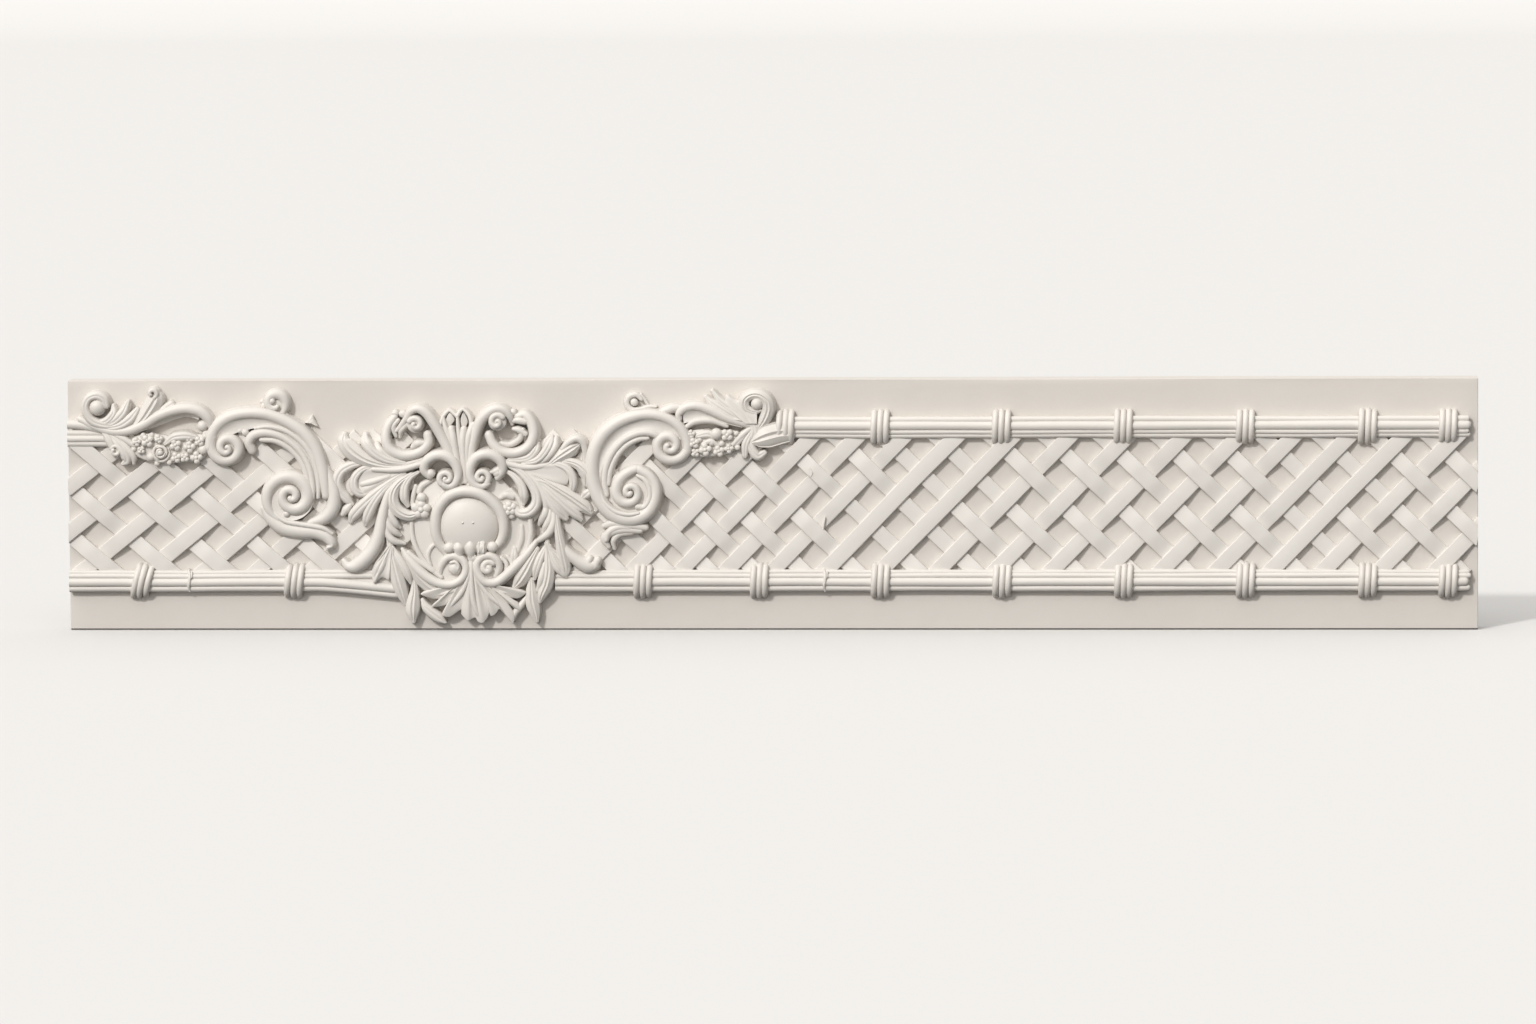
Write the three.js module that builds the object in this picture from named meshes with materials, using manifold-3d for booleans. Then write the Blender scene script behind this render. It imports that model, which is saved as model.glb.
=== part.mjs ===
// Crown moulding with a woven lattice, reed rails, a central cartouche, two C-scrolls and two sprays.
// The board stands on its underside with its face to -Y, its length along X and its height along Z.
import * as THREE from 'three';
import { mergeVertices } from 'three/addons/utils/BufferGeometryUtils.js';
import Module from 'manifold-3d';

const wasm = await Module();
wasm.setup();

// Board, all sizes in millimetres
const LENGTH = 1000;
const HEIGHT = 178;
const BOARD_DEPTH = 25;
const EDGE_EASE = 1.2;
const CORNER_EASE = 2;
const GAP = 0.3;

// Woven lattice
const SLAT_WIDTH = 11.2;
const SLAT_UNDER = 2.0;
const SLAT_OVER = 4.2;
const LATTICE_FOOT = 43.4;
const LATTICE_HEAD = 134.2;
const OPEN_HEAD = 140;
const LATTICE_STOP_COLUMN = 414;
const LATTICE_START_COLUMN = 524;

// Reed rails and their ties
const RAIL_WIDE = 15.4;
const RAIL_PROUD = 8;
const LOWER_RAIL_AT = 35.4;
const UPPER_RAIL_AT = 144.0;
const RAIL_END_SHORT = 3.4;
const TIE_PITCH = 86.4;
const TIE_FIRST = -7.5;
const TIE_WIDTH = 13.4;
const TIE_WIDE = 22.4;
const TIE_PROUD = 10.6;
const END_TIE_IN = 19.6;

// Carving is set out on squares, the cartouche axis on column 465 and the foot of the board on row 631
const COLUMNS = 1404;
const ROWS = 250;
const AXIS_COLUMN = 465;
const FOOT_ROW = 631;
const AXIS_SHARE = -0.2162;
const RELIEF = 1.0;

const FACE = -BOARD_DEPTH / 2;
const COLUMN = LENGTH / COLUMNS;
const ROW = HEIGHT / ROWS;
const STRETCH = LENGTH / 1000;
const RISE = HEIGHT / 178;

const acrossAt = (column) => AXIS_SHARE * LENGTH + (column - AXIS_COLUMN) * COLUMN;
const upAt = (row) => (FOOT_ROW - row) * ROW;

// A closed body from points and triangles, joined where points coincide
function solidOf(points, triangles) {
  const geometry = new THREE.BufferGeometry();
  geometry.setAttribute('position', new THREE.Float32BufferAttribute(points.flat(), 3));
  geometry.setIndex(triangles.flat());
  return solidFrom(geometry);
}

function solidFrom(geometry) {
  geometry.deleteAttribute('normal');
  geometry.deleteAttribute('uv');
  const merged = mergeVertices(geometry, 1e-4);
  const mesh = new wasm.Mesh({
    numProp: 3,
    vertProperties: new Float32Array(merged.attributes.position.array),
    triVerts: new Uint32Array(merged.index.array),
  });
  const solid = new wasm.Manifold(mesh);
  return solid.volume() < 0 ? flipped(merged) : solid;
}

function flipped(geometry) {
  const index = Array.from(geometry.index.array);
  for (let i = 0; i < index.length; i += 3) {
    const second = index[i + 1];
    index[i + 1] = index[i + 2];
    index[i + 2] = second;
  }
  return new wasm.Manifold(new wasm.Mesh({
    numProp: 3,
    vertProperties: new Float32Array(geometry.attributes.position.array),
    triVerts: new Uint32Array(index),
  }));
}

// Rings of equal count joined one to the next, with a flat face over the first and the last
function loft(rings, closed = true) {
  const count = rings[0].length;
  const triangles = [];
  for (let i = 0; i + 1 < rings.length; i += 1) {
    for (let j = 0; j < count; j += 1) {
      const k = (j + 1) % count;
      const a = i * count + j;
      const b = i * count + k;
      triangles.push([a, b, b + count], [a, b + count, a + count]);
    }
  }
  if (closed) {
    const last = (rings.length - 1) * count;
    for (let j = 1; j + 1 < count; j += 1) {
      triangles.push([0, j + 1, j], [last, last + j, last + j + 1]);
    }
  }
  return solidOf(rings.flat(), triangles);
}

// Sections across a strand, as shares of its half width and of its height
const BAND = [[-1, 0], [-0.6, 0.98], [0.6, 0.98], [1, 0]];
const LEAF = [[-1, 0], [-0.1, 1], [1, 0]];
const FLUTE = [[-1, 0], [-0.82, 1], [0.1, 0.74], [0.82, 1], [1, 0]];

// Stations are column, row, half width and height, all in squares
function strand(path, section = BAND) {
  const rings = path.map((station, i) => {
    const before = path[Math.max(i - 1, 0)];
    const after = path[Math.min(i + 1, path.length - 1)];
    const dx = after[0] - before[0];
    const dy = after[1] - before[1];
    const long = Math.hypot(dx, dy);
    return section.map(([side, share]) => [
      acrossAt(station[0] - (dy / long) * side * station[2]),
      FACE - share * station[3] * ROW * RELIEF,
      upAt(station[1] + (dx / long) * side * station[2]),
    ]);
  });
  return loft(rings);
}

// A knob: a drum under a blunt cone head
function knob(column, row, radius, high, sides = 6) {
  const rings = [[1, 0], [0.86, 0.72]].map(([out, share]) => Array.from({ length: sides }, (_, i) => {
    const turn = ((i + 0.3) / sides) * Math.PI * 2;
    return [
      acrossAt(column + Math.cos(turn) * out * radius),
      FACE - share * high * ROW * RELIEF,
      upAt(row - Math.sin(turn) * out * radius),
    ];
  }));
  const points = rings.flat();
  points.push([acrossAt(column), FACE - high * ROW * RELIEF, upAt(row)]);
  const triangles = [];
  for (let i = 0; i < sides; i += 1) {
    const k = (i + 1) % sides;
    triangles.push([i, k, sides + k], [i, sides + k, sides + i], [sides + i, sides + k, 2 * sides]);
  }
  for (let i = 1; i + 1 < sides; i += 1) {
    triangles.push([0, i + 1, i]);
  }
  return solidOf(points, triangles);
}

// A flower: petals round a raised eye
function flower(column, row, radius, high, petals = 5, turn = 0) {
  const sides = petals * 2;
  const ring = (out, dip, share) => Array.from({ length: sides }, (_, i) => {
    const angle = turn + (i / sides) * Math.PI * 2;
    const reach = radius * out * (i % 2 ? dip : 1);
    return [
      acrossAt(column + Math.cos(angle) * reach),
      FACE - share * high * ROW * RELIEF,
      upAt(row - Math.sin(angle) * reach),
    ];
  });
  return loft([ring(1, 0.74, 0), ring(0.94, 0.74, 0.78), ring(0.42, 1, 1)]);
}

// A snail volute: a band winding inward and rising, over a low drum
function volute(column, row, start, turns, reach, inner, wide, narrow, high, top, perTurn = 9) {
  const count = Math.ceil(Math.abs(turns) * perTurn);
  const stations = [];
  for (let i = 0; i <= count; i += 1) {
    const t = i / count;
    const angle = ((start + 360 * turns * t) * Math.PI) / 180;
    const radius = reach + (inner - reach) * t;
    const half = wide + (narrow - wide) * t;
    stations.push([
      column + Math.cos(angle) * radius,
      row - Math.sin(angle) * radius,
      half,
      high + (top - high) * t,
    ]);
  }
  const drum = knob(column, row, reach, high * 0.86, 9);
  return [strand(stations), drum];
}

// A flat plate with a drawn outline
function plate(outline, high) {
  const shape = new THREE.Shape();
  outline.forEach(([column, row], i) => {
    const x = acrossAt(column);
    const z = upAt(row);
    if (i === 0) {
      shape.moveTo(x, z);
    } else {
      shape.lineTo(x, z);
    }
  });
  const geometry = new THREE.ExtrudeGeometry(shape, { depth: high * ROW * RELIEF, bevelEnabled: false });
  geometry.rotateX(Math.PI / 2);
  geometry.translate(0, FACE, 0);
  return solidFrom(geometry);
}

// A bar with one profile of out and up sizes, running along the board
function bar(x0, x1, profile) {
  const rings = [x0, x1].map((x) => profile.map(([out, up]) => [x, FACE - out, up]));
  return loft(rings);
}

function box(x0, x1, out, z0, z1, inward = 0) {
  return bar(x0, x1, [[-inward, z0], [-inward, z1], [out, z1], [out, z0]]);
}

function joined(list) {
  return wasm.Manifold.union(list.flat());
}

function largest(solid) {
  const bodies = solid.decompose();
  return bodies.reduce((best, body) => (body.volume() > best.volume() ? body : best));
}

// Backing board with eased long edges
const half = LENGTH / 2;
const back = BOARD_DEPTH / 2;
const boardShape = new THREE.Shape();
boardShape.moveTo(-half + CORNER_EASE, 0);
boardShape.lineTo(half - CORNER_EASE, 0);
boardShape.lineTo(half, CORNER_EASE);
boardShape.lineTo(half, HEIGHT - CORNER_EASE);
boardShape.lineTo(half - CORNER_EASE, HEIGHT);
boardShape.lineTo(-half + CORNER_EASE, HEIGHT);
boardShape.lineTo(-half, HEIGHT - CORNER_EASE);
boardShape.lineTo(-half, CORNER_EASE);
boardShape.closePath();
const boardBlank = new THREE.ExtrudeGeometry(boardShape, { depth: BOARD_DEPTH, bevelEnabled: false });
boardBlank.rotateX(Math.PI / 2);
boardBlank.translate(0, back, 0);
const easedOutline = bar(-half - 1, half + 1, [
  [0, EDGE_EASE],
  [-EDGE_EASE, 0],
  [-BOARD_DEPTH, 0],
  [-BOARD_DEPTH, HEIGHT],
  [-EDGE_EASE, HEIGHT],
  [0, HEIGHT - EDGE_EASE],
]);
const board = solidFrom(boardBlank).intersect(easedOutline);

// Slats: where each crosses the middle of the lattice, measured along the board from its middle
const MIDDLE_UP = (LATTICE_FOOT + LATTICE_HEAD) / 2 * RISE;
const RISING_AT = [-517, -476, -432.6, -388.2, -349.9, -312.7, -275.5, -238.2, -201, -163.8,
  -126.5, -89.3, -52.1, -18, 14, 47.4, 85, 124, 165, 205.5, 244.8, 284, 322.4, 361.5, 400,
  437.4, 476.8, 516];
const FALLING_AT = [-524, -482.4, -440.8, -397.9, -361.4, -318, -275, -231.6, -188.4, -145,
  -101.8, -58.5, -24.4, 13.3, 57.3, 97.8, 131.1, 169.1, 207.3, 246.6, 285.5, 325.4, 362.6,
  399.3, 439.2, 476.5, 516];
const RISING_LEAN = [1.3, 0.985];
const FALLING_LEAN = [1.19, 1.03];

function leanAt(at, [left, right]) {
  const share = Math.min(Math.max((-150 - at) / 350, 0), 1);
  return (right + (left - right) * share) * STRETCH;
}

const rising = RISING_AT.map((at) => [at * STRETCH, leanAt(at, RISING_LEAN)]);
const falling = FALLING_AT.map((at) => [at * STRETCH, -leanAt(at, FALLING_LEAN)]);

// Where an edge of one slat meets an edge of another, sides given as -1 and 1
function corner([at, lean], side, [otherAt, otherLean], otherSide) {
  const edge = at + side * SLAT_WIDTH / 2 * Math.hypot(1, lean);
  const otherEdge = otherAt + otherSide * SLAT_WIDTH / 2 * Math.hypot(1, otherLean);
  const up = (otherEdge - edge) / (lean - otherLean);
  return [edge + lean * up, MIDDLE_UP + up];
}

// One closed woven sheet: a raised lozenge at each crossing, and four sloping straps between
function weave(from, to, overIsOdd) {
  const points = [];
  const triangles = [];
  const known = new Map();
  const point = ([x, z], out) => {
    const key = `${x.toFixed(5)} ${z.toFixed(5)} ${out}`;
    if (!known.has(key)) {
      known.set(key, points.length);
      points.push([x, FACE - out, z]);
    }
    return known.get(key);
  };
  const reach = (OPEN_HEAD - LATTICE_FOOT) / 2 * RISE;
  const held = (i, j) => {
    if (!rising[i] || !falling[j]) {
      return false;
    }
    const up = (falling[j][0] - rising[i][0]) / (rising[i][1] - falling[j][1]);
    const x = rising[i][0] + rising[i][1] * up;
    return up > -reach - 14 && up < reach + 26 && x > from - 34 && x < to + 34;
  };
  const at = (i, j, a, b) => corner(rising[i], a, falling[j], b);
  const face = (list) => {
    for (let n = 1; n + 1 < list.length; n += 1) {
      triangles.push([list[0], list[n], list[n + 1]]);
    }
  };
  // A strap from its high end, corners p and q, down to its low end, corners r and s
  const strap = (p, q, r, s) => {
    face([point(p, SLAT_OVER), point(q, SLAT_OVER), point(s, SLAT_UNDER), point(r, SLAT_UNDER)]);
    face([point(q, 0), point(p, 0), point(r, 0), point(s, 0)]);
    face([point(r, 0), point(p, 0), point(p, SLAT_UNDER), point(p, SLAT_OVER), point(r, SLAT_UNDER)]);
    face([point(s, 0), point(s, SLAT_UNDER), point(q, SLAT_OVER), point(q, SLAT_UNDER), point(q, 0)]);
  };
  for (let i = 0; i < rising.length; i += 1) {
    for (let j = 0; j < falling.length; j += 1) {
      if (!held(i, j)) {
        continue;
      }
      const over = ((i + j) % 2 === 1) === overIsOdd;
      const c = [at(i, j, -1, -1), at(i, j, 1, -1), at(i, j, 1, 1), at(i, j, -1, 1)];
      face(c.map((spot) => point(spot, SLAT_OVER)));
      face([c[3], c[2], c[1], c[0]].map((spot) => point(spot, 0)));
      const sides = [[c[0], c[1], i, j - 1], [c[1], c[2], i + 1, j], [c[2], c[3], i, j + 1],
        [c[3], c[0], i - 1, j]];
      sides.forEach(([p, q, ni, nj], n) => {
        const along = n % 2 === 0;
        if (!held(ni, nj)) {
          const top = [point(q, SLAT_OVER), point(p, SLAT_OVER)];
          face([point(q, SLAT_UNDER), ...top, point(p, SLAT_UNDER), point(p, 0), point(q, 0)]);
        } else if (along !== over) {
          face([point(p, SLAT_UNDER), point(q, SLAT_UNDER), point(q, SLAT_OVER), point(p, SLAT_OVER)]);
        }
      });
      if (held(i, j + 1)) {
        const ahead = [at(i, j + 1, 1, -1), at(i, j + 1, -1, -1)];
        if (over) {
          strap(c[3], c[2], ahead[1], ahead[0]);
        } else {
          strap(ahead[0], ahead[1], c[2], c[3]);
        }
      }
      if (held(i + 1, j)) {
        const ahead = [at(i + 1, j, -1, -1), at(i + 1, j, -1, 1)];
        if (over) {
          strap(ahead[0], ahead[1], c[1], c[2]);
        } else {
          strap(c[2], c[1], ahead[1], ahead[0]);
        }
      }
    }
  }
  return solidOf(points, triangles);
}

// Reed rails
const LOWER_UP = LOWER_RAIL_AT * RISE;
const UPPER_UP = UPPER_RAIL_AT * RISE;
const lowerLeftEnd = acrossAt(391);
const lowerRightStart = acrossAt(554);
const upperLeftEnd = acrossAt(107);
const tieStart = TIE_FIRST * STRETCH;
const tiePitch = TIE_PITCH * STRETCH;
const upperRightStart = tieStart + tiePitch * 0.15;
const railStop = half - RAIL_END_SHORT;

const REEDS = [
  [0, -0.5], [0.56, -0.5], [0.76, -0.36], [0.62, -0.22], [1, 0], [0.62, 0.22], [0.76, 0.37],
  [0.48, 0.5], [0, 0.5],
];

function reeds(x0, x1, up, wide, rounded) {
  const ring = (x, share) => REEDS.map(([out, side]) => [
    x,
    FACE - out * RAIL_PROUD * (0.55 + 0.45 * share),
    up + side * wide * (0.72 + 0.28 * share),
  ]);
  const rings = [ring(x0, 1), ring(rounded ? x1 - 1.6 : x1, 1)];
  if (rounded) {
    rings.push(ring(x1, 0.35));
  }
  return loft(rings);
}

function tie(x, up) {
  const rings = [[-0.5, 0.86], [-0.16, 1], [0.16, 1], [0.5, 0.86]].map(([along, full]) => {
    const at = x + along * TIE_WIDTH;
    const wide = TIE_WIDE / 2 * (0.6 + 0.4 * full);
    return [
      [at, FACE, up - wide],
      [at, FACE - TIE_PROUD * full * 0.7, up - wide * 0.94],
      [at, FACE - TIE_PROUD * full, up - wide * 0.5],
      [at, FACE - TIE_PROUD * full, up + wide * 0.5],
      [at, FACE - TIE_PROUD * full * 0.7, up + wide * 0.94],
      [at, FACE, up + wide],
    ];
  });
  return loft([rings[0], rings[1], rings[2], rings[3]]);
}

const lowerTiesLeft = [-447.6 * STRETCH, -338.8 * STRETCH];
const lowerTiesRight = [tieStart - tiePitch * 0.96];
const upperTiesRight = [tieStart + tiePitch * 0.22];
for (let i = 0; i < 6; i += 1) {
  lowerTiesRight.push(tieStart + tiePitch * i);
  if (i > 0) {
    upperTiesRight.push(tieStart + tiePitch * i);
  }
}
lowerTiesRight.push(half - END_TIE_IN);
upperTiesRight.push(half - END_TIE_IN);

const stubUp = upAt(437.5);
const stubWide = RAIL_WIDE * 0.8;
const railBodies = {
  lower_reed_rail_left: joined([reeds(-half, lowerLeftEnd, LOWER_UP, RAIL_WIDE, false),
    lowerTiesLeft.map((x) => tie(x, LOWER_UP))]),
  lower_reed_rail_right: joined([reeds(lowerRightStart, railStop, LOWER_UP, RAIL_WIDE, true),
    lowerTiesRight.map((x) => tie(x, LOWER_UP))]),
  upper_reed_rail_left: reeds(-half, upperLeftEnd, stubUp, stubWide, false),
  upper_reed_rail_right: joined([reeds(upperRightStart, railStop, UPPER_UP, RAIL_WIDE, true),
    upperTiesRight.map((x) => tie(x, UPPER_UP))]),
};

// Room kept clear round rails, ties and lattice
const railHalf = RAIL_WIDE / 2 + GAP;
const railRoom = RAIL_PROUD + GAP;
const tieRoom = (x, up) => box(x - TIE_WIDTH / 2 - GAP, x + TIE_WIDTH / 2 + GAP, TIE_PROUD + GAP,
  up - TIE_WIDE / 2 - GAP, up + TIE_WIDE / 2 + GAP, 1);
const rooms = [
  box(-half - 1, lowerLeftEnd + GAP, railRoom, LOWER_UP - railHalf, LOWER_UP + railHalf, 1),
  box(lowerRightStart - GAP, railStop + GAP, railRoom, LOWER_UP - railHalf, LOWER_UP + railHalf, 1),
  box(-half - 1, upperLeftEnd + GAP, railRoom, stubUp - stubWide / 2 - GAP, stubUp + stubWide / 2 + GAP, 1),
  box(upperRightStart - GAP, railStop + GAP, railRoom, UPPER_UP - railHalf, UPPER_UP + railHalf, 1),
];
const tieRooms = lowerTiesLeft.concat(lowerTiesRight).map((x) => tieRoom(x, LOWER_UP))
  .concat(upperTiesRight.map((x) => tieRoom(x, UPPER_UP)));

const foot = LATTICE_FOOT * RISE;
const head = LATTICE_HEAD * RISE;
const openHead = OPEN_HEAD * RISE;
const openLeft = upperLeftEnd + GAP;
const openRight = upperRightStart - GAP;
const latticeLeftStop = acrossAt(LATTICE_STOP_COLUMN);
const latticeRightStart = acrossAt(LATTICE_START_COLUMN);
const fieldOf = (from, to) => joined([
  box(from, to, SLAT_OVER + 2, foot, head, 0),
  box(Math.max(from, openLeft), Math.min(to, openRight), SLAT_OVER + 2, foot, openHead, 0),
]);
const roomSolid = joined([rooms, tieRooms]);
const latticeLeft = largest(weave(-half, latticeLeftStop, true)
  .intersect(fieldOf(-half, latticeLeftStop)).subtract(roomSolid));
const latticeRight = largest(weave(latticeRightStart, half, true)
  .intersect(fieldOf(latticeRightStart, half)).subtract(roomSolid));

const latticeRoom = SLAT_OVER + GAP;
const band = joined([
  box(-half - 1, latticeLeftStop + GAP, latticeRoom, foot - GAP, head + GAP, 1),
  box(latticeRightStart - GAP, half + 1, latticeRoom, foot - GAP, head + GAP, 1),
  box(openLeft - GAP, latticeLeftStop + GAP, latticeRoom, foot - GAP, openHead + GAP, 1),
  box(latticeRightStart - GAP, openRight + GAP, latticeRoom, foot - GAP, openHead + GAP, 1),
  roomSolid,
]);

// Central cartouche
const cartouchePlate = plate([
  [446, 480], [427, 480], [419, 492], [411, 518], [412, 538], [420, 559], [445, 582], [470, 587],
  [500, 581], [519, 563], [513, 551], [528, 549], [531, 518], [520, 511], [508, 487], [496, 478],
  [470, 480],
], 9.6);

const ring = strand([
  [446, 553, 4, 13], [437, 539, 5, 16], [435.5, 522, 5.3, 18], [441, 504.5, 5.3, 19.5],
  [454, 493.5, 5.3, 20.5], [470, 491.3, 5.5, 21], [485.5, 495.5, 5.5, 21], [498, 507, 5.3, 20],
  [504.5, 524, 5.2, 18.5], [502, 541, 4.6, 16.5], [494, 549, 4, 14],
], FLUTE);

function dome(column, row, wide, tall, rim, high, sides = 14) {
  const ringAt = (out, level) => Array.from({ length: sides }, (_, i) => {
    const angle = (i / sides) * Math.PI * 2;
    return [
      acrossAt(column + Math.cos(angle) * wide * out),
      FACE - level * ROW * RELIEF,
      upAt(row - Math.sin(angle) * tall * out),
    ];
  });
  const levels = [[1, 0], [1, rim], [0.76, rim + (high - rim) * 0.68], [0.36, high]];
  return loft(levels.map(([out, level]) => ringAt(out, level)));
}

const berries = [[448, 547.5, 5.2], [459.5, 548, 5], [470.5, 547, 5.2], [482, 547.5, 5.2]]
  .map(([column, row, radius]) => knob(column, row, radius, 16.5));

const cartoucheVolutes = [
  [[447, 487, 2.5, 16], [457, 478, 4.8, 19.5], [455, 464, 5.5, 21], [446, 457, 6, 21.5],
    [433, 457.5, 6, 20.5], [425, 467, 5, 18], [427, 477, 3.6, 16]],
  [[485, 486, 3, 16], [474, 478, 4.6, 19.5], [472.6, 464, 5, 21], [480, 455.5, 6.2, 21.5],
    [492, 458.5, 6, 21], [499.5, 468, 5, 19], [500, 477, 3.4, 17]],
  [[404, 554, 3, 14], [416, 570, 5, 17], [429, 580.5, 5, 17.5], [445, 585, 4.6, 18],
    [460, 580, 4.4, 18], [465.5, 567.5, 3.8, 18], [456.5, 558.5, 3.8, 18],
    [445.5, 561, 4, 17.5], [443.5, 572, 3, 15]],
  [[535, 545, 2.8, 14], [521, 560.5, 4.8, 16.5], [507, 574.5, 5, 17.5], [492, 582, 4.8, 18],
    [479, 575.5, 4.4, 18], [478.5, 562.5, 4, 18], [490, 557.5, 4, 17.5],
    [498.5, 567, 3.8, 16], [497, 576, 2.6, 15]],
].map((line) => strand(line));

const crestPlate = plate([
  [471, 488], [458, 488], [456, 470], [449, 446], [442, 426], [445, 415], [451, 410.5],
  [456, 416.5], [459, 420], [463.5, 410], [469, 415.5], [471, 427], [470, 452],
], 13).subtract(joined([
  plate([[451, 414], [456, 420.5], [450, 426], [447.5, 420]], 14),
  plate([[464.4, 413], [467.6, 422.5], [462.8, 426], [461.2, 420.5]], 14),
]));
const crest = [
  [[457, 468, 2.8, 15], [452, 448, 3, 16], [446, 428, 2.6, 14.5]],
  [[463, 470, 2.6, 16], [459, 448, 3, 17.5], [454.5, 427, 2.4, 14.5]],
  [[466, 468, 2.4, 16], [465, 446, 2.8, 17], [465, 429, 2.2, 14.5]],
];
const stems = [
  [[460, 478, 2.8, 14], [453.5, 451, 3.4, 17], [445, 433.5, 4.2, 18], [436, 420.5, 4.7, 19],
    [426, 411.8, 4.4, 19], [415, 411.5, 3.4, 18], [407, 423, 3, 15.5], [401.5, 436, 2.2, 12]],
  [[468, 478, 2.6, 14], [470.5, 449, 3.4, 17], [474, 432, 3.9, 18], [481, 419, 4.6, 19],
    [491, 411, 4.6, 19], [503, 410.5, 3.8, 18], [511, 419.5, 3, 15.5], [512, 429, 1.8, 12.5]],
];
const bowls = [
  [[397, 416.5, 3.2, 12.5], [388.5, 428.5, 4.2, 14], [386.5, 442, 4.8, 16.5], [393, 453, 5, 17],
    [408, 456.2, 5, 17], [422, 451.5, 4.4, 17], [430, 441.5, 3.8, 16], [430, 432, 2.6, 14]],
  [[516, 421.5, 3.4, 13], [524, 415.5, 4, 14], [532, 423.5, 4.8, 16.5], [532.5, 439, 5, 17],
    [523, 451, 5, 17.5], [506, 454, 4.6, 17], [493.5, 447, 4.2, 16.5], [489.5, 433, 3, 14]],
];
const bowlTrims = [
  knob(416, 424, 7, 20, 7),
  knob(498, 421, 8.4, 21, 8),
  knob(418.5, 444.5, 5.6, 15),
  knob(399.5, 414.5, 4.4, 12.5),
  knob(514, 412.5, 3.6, 12, 5),
  knob(447, 478, 7.4, 22, 8),
  knob(431.5, 474, 4, 16, 5),
  knob(482, 477.5, 7.4, 22, 8),
  knob(496.5, 474, 5, 17.5),
  knob(455, 569, 7.4, 19.5, 8),
  knob(487.5, 567.5, 7.4, 19.5, 8),
];
const leftSprays = [
  [[425, 459, 2.4, 14], [395, 465, 4, 16], [366, 459.5, 6.6, 17], [351.5, 450, 8.2, 17],
    [345, 434, 3.6, 11]],
  [[395, 462, 3, 16], [375, 452.5, 4.8, 18], [367, 443, 5.2, 17], [366, 433.5, 2.8, 12.5]],
  [[390, 458, 3, 16], [380, 450, 3.8, 16.5], [377, 443, 2.6, 13]],
  [[374, 469, 2.4, 16.5], [400, 469.2, 2.8, 18], [422, 463.5, 2.6, 17]],
  [[374, 466, 2.2, 14], [360, 470.5, 3.2, 15.5], [354, 483, 4, 16], [360, 493.5, 3.6, 15],
    [370, 492, 2, 12]],
  [[362, 463, 2.4, 13], [346, 467.5, 4.4, 15], [337.5, 480, 5, 15], [342, 494, 5, 14],
    [352, 504.5, 2.4, 11]],
  [[392, 481, 3, 16], [374, 495, 4.2, 16.5], [358, 510, 5.4, 16], [350, 521.5, 2.6, 11]],
  [[388, 486, 3.2, 16.5], [375, 501, 4.2, 17], [368, 514, 4.8, 15.5], [365, 525, 1.8, 11]],
  [[393, 486, 3, 17], [384, 505, 3.8, 18], [379.5, 528, 5, 19], [372, 551, 5.8, 18.5],
    [358, 567.5, 7.6, 16.5], [345.5, 567.5, 4.6, 13.5], [342, 560, 2, 11.5]],
  [[409, 475, 2.4, 15], [397, 486, 4.6, 18], [392.6, 500, 5.8, 18.5], [400, 512, 5.4, 18],
    [417, 514, 3.8, 15.5]],
  [[419, 472, 1.6, 14], [408, 481, 3.4, 17], [404, 495, 4, 17], [408, 506, 2, 14]],
  [[388, 507, 2.4, 15.5], [392.5, 518, 3.4, 16], [400.5, 528, 1.5, 12]],
  [[386, 517, 2.4, 15.5], [391, 528.5, 3.4, 16], [401, 536, 1.5, 12]],
  [[385, 523, 2.4, 15.5], [389.5, 536.5, 3.4, 16.5], [404.5, 544, 1.5, 12]],
  [[386.5, 526, 2.2, 14], [391, 552, 3.6, 15.5], [397, 579, 6.6, 16.5], [404.5, 605, 1.6, 11]],
  [[388.5, 549, 2.4, 14], [380, 565.5, 5.4, 16], [374, 582, 1.6, 11]],
  [[393, 550, 2.4, 15], [403, 566, 4.2, 16.5], [410, 583.5, 1.5, 12]],
  [[413.5, 580, 2.4, 12], [412, 602, 6.8, 14], [412.4, 622.5, 1.8, 10.5]],
  [[421, 601, 1.8, 11], [429, 614, 3.8, 12.5], [444.5, 623, 1.2, 9.5]],
];
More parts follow.
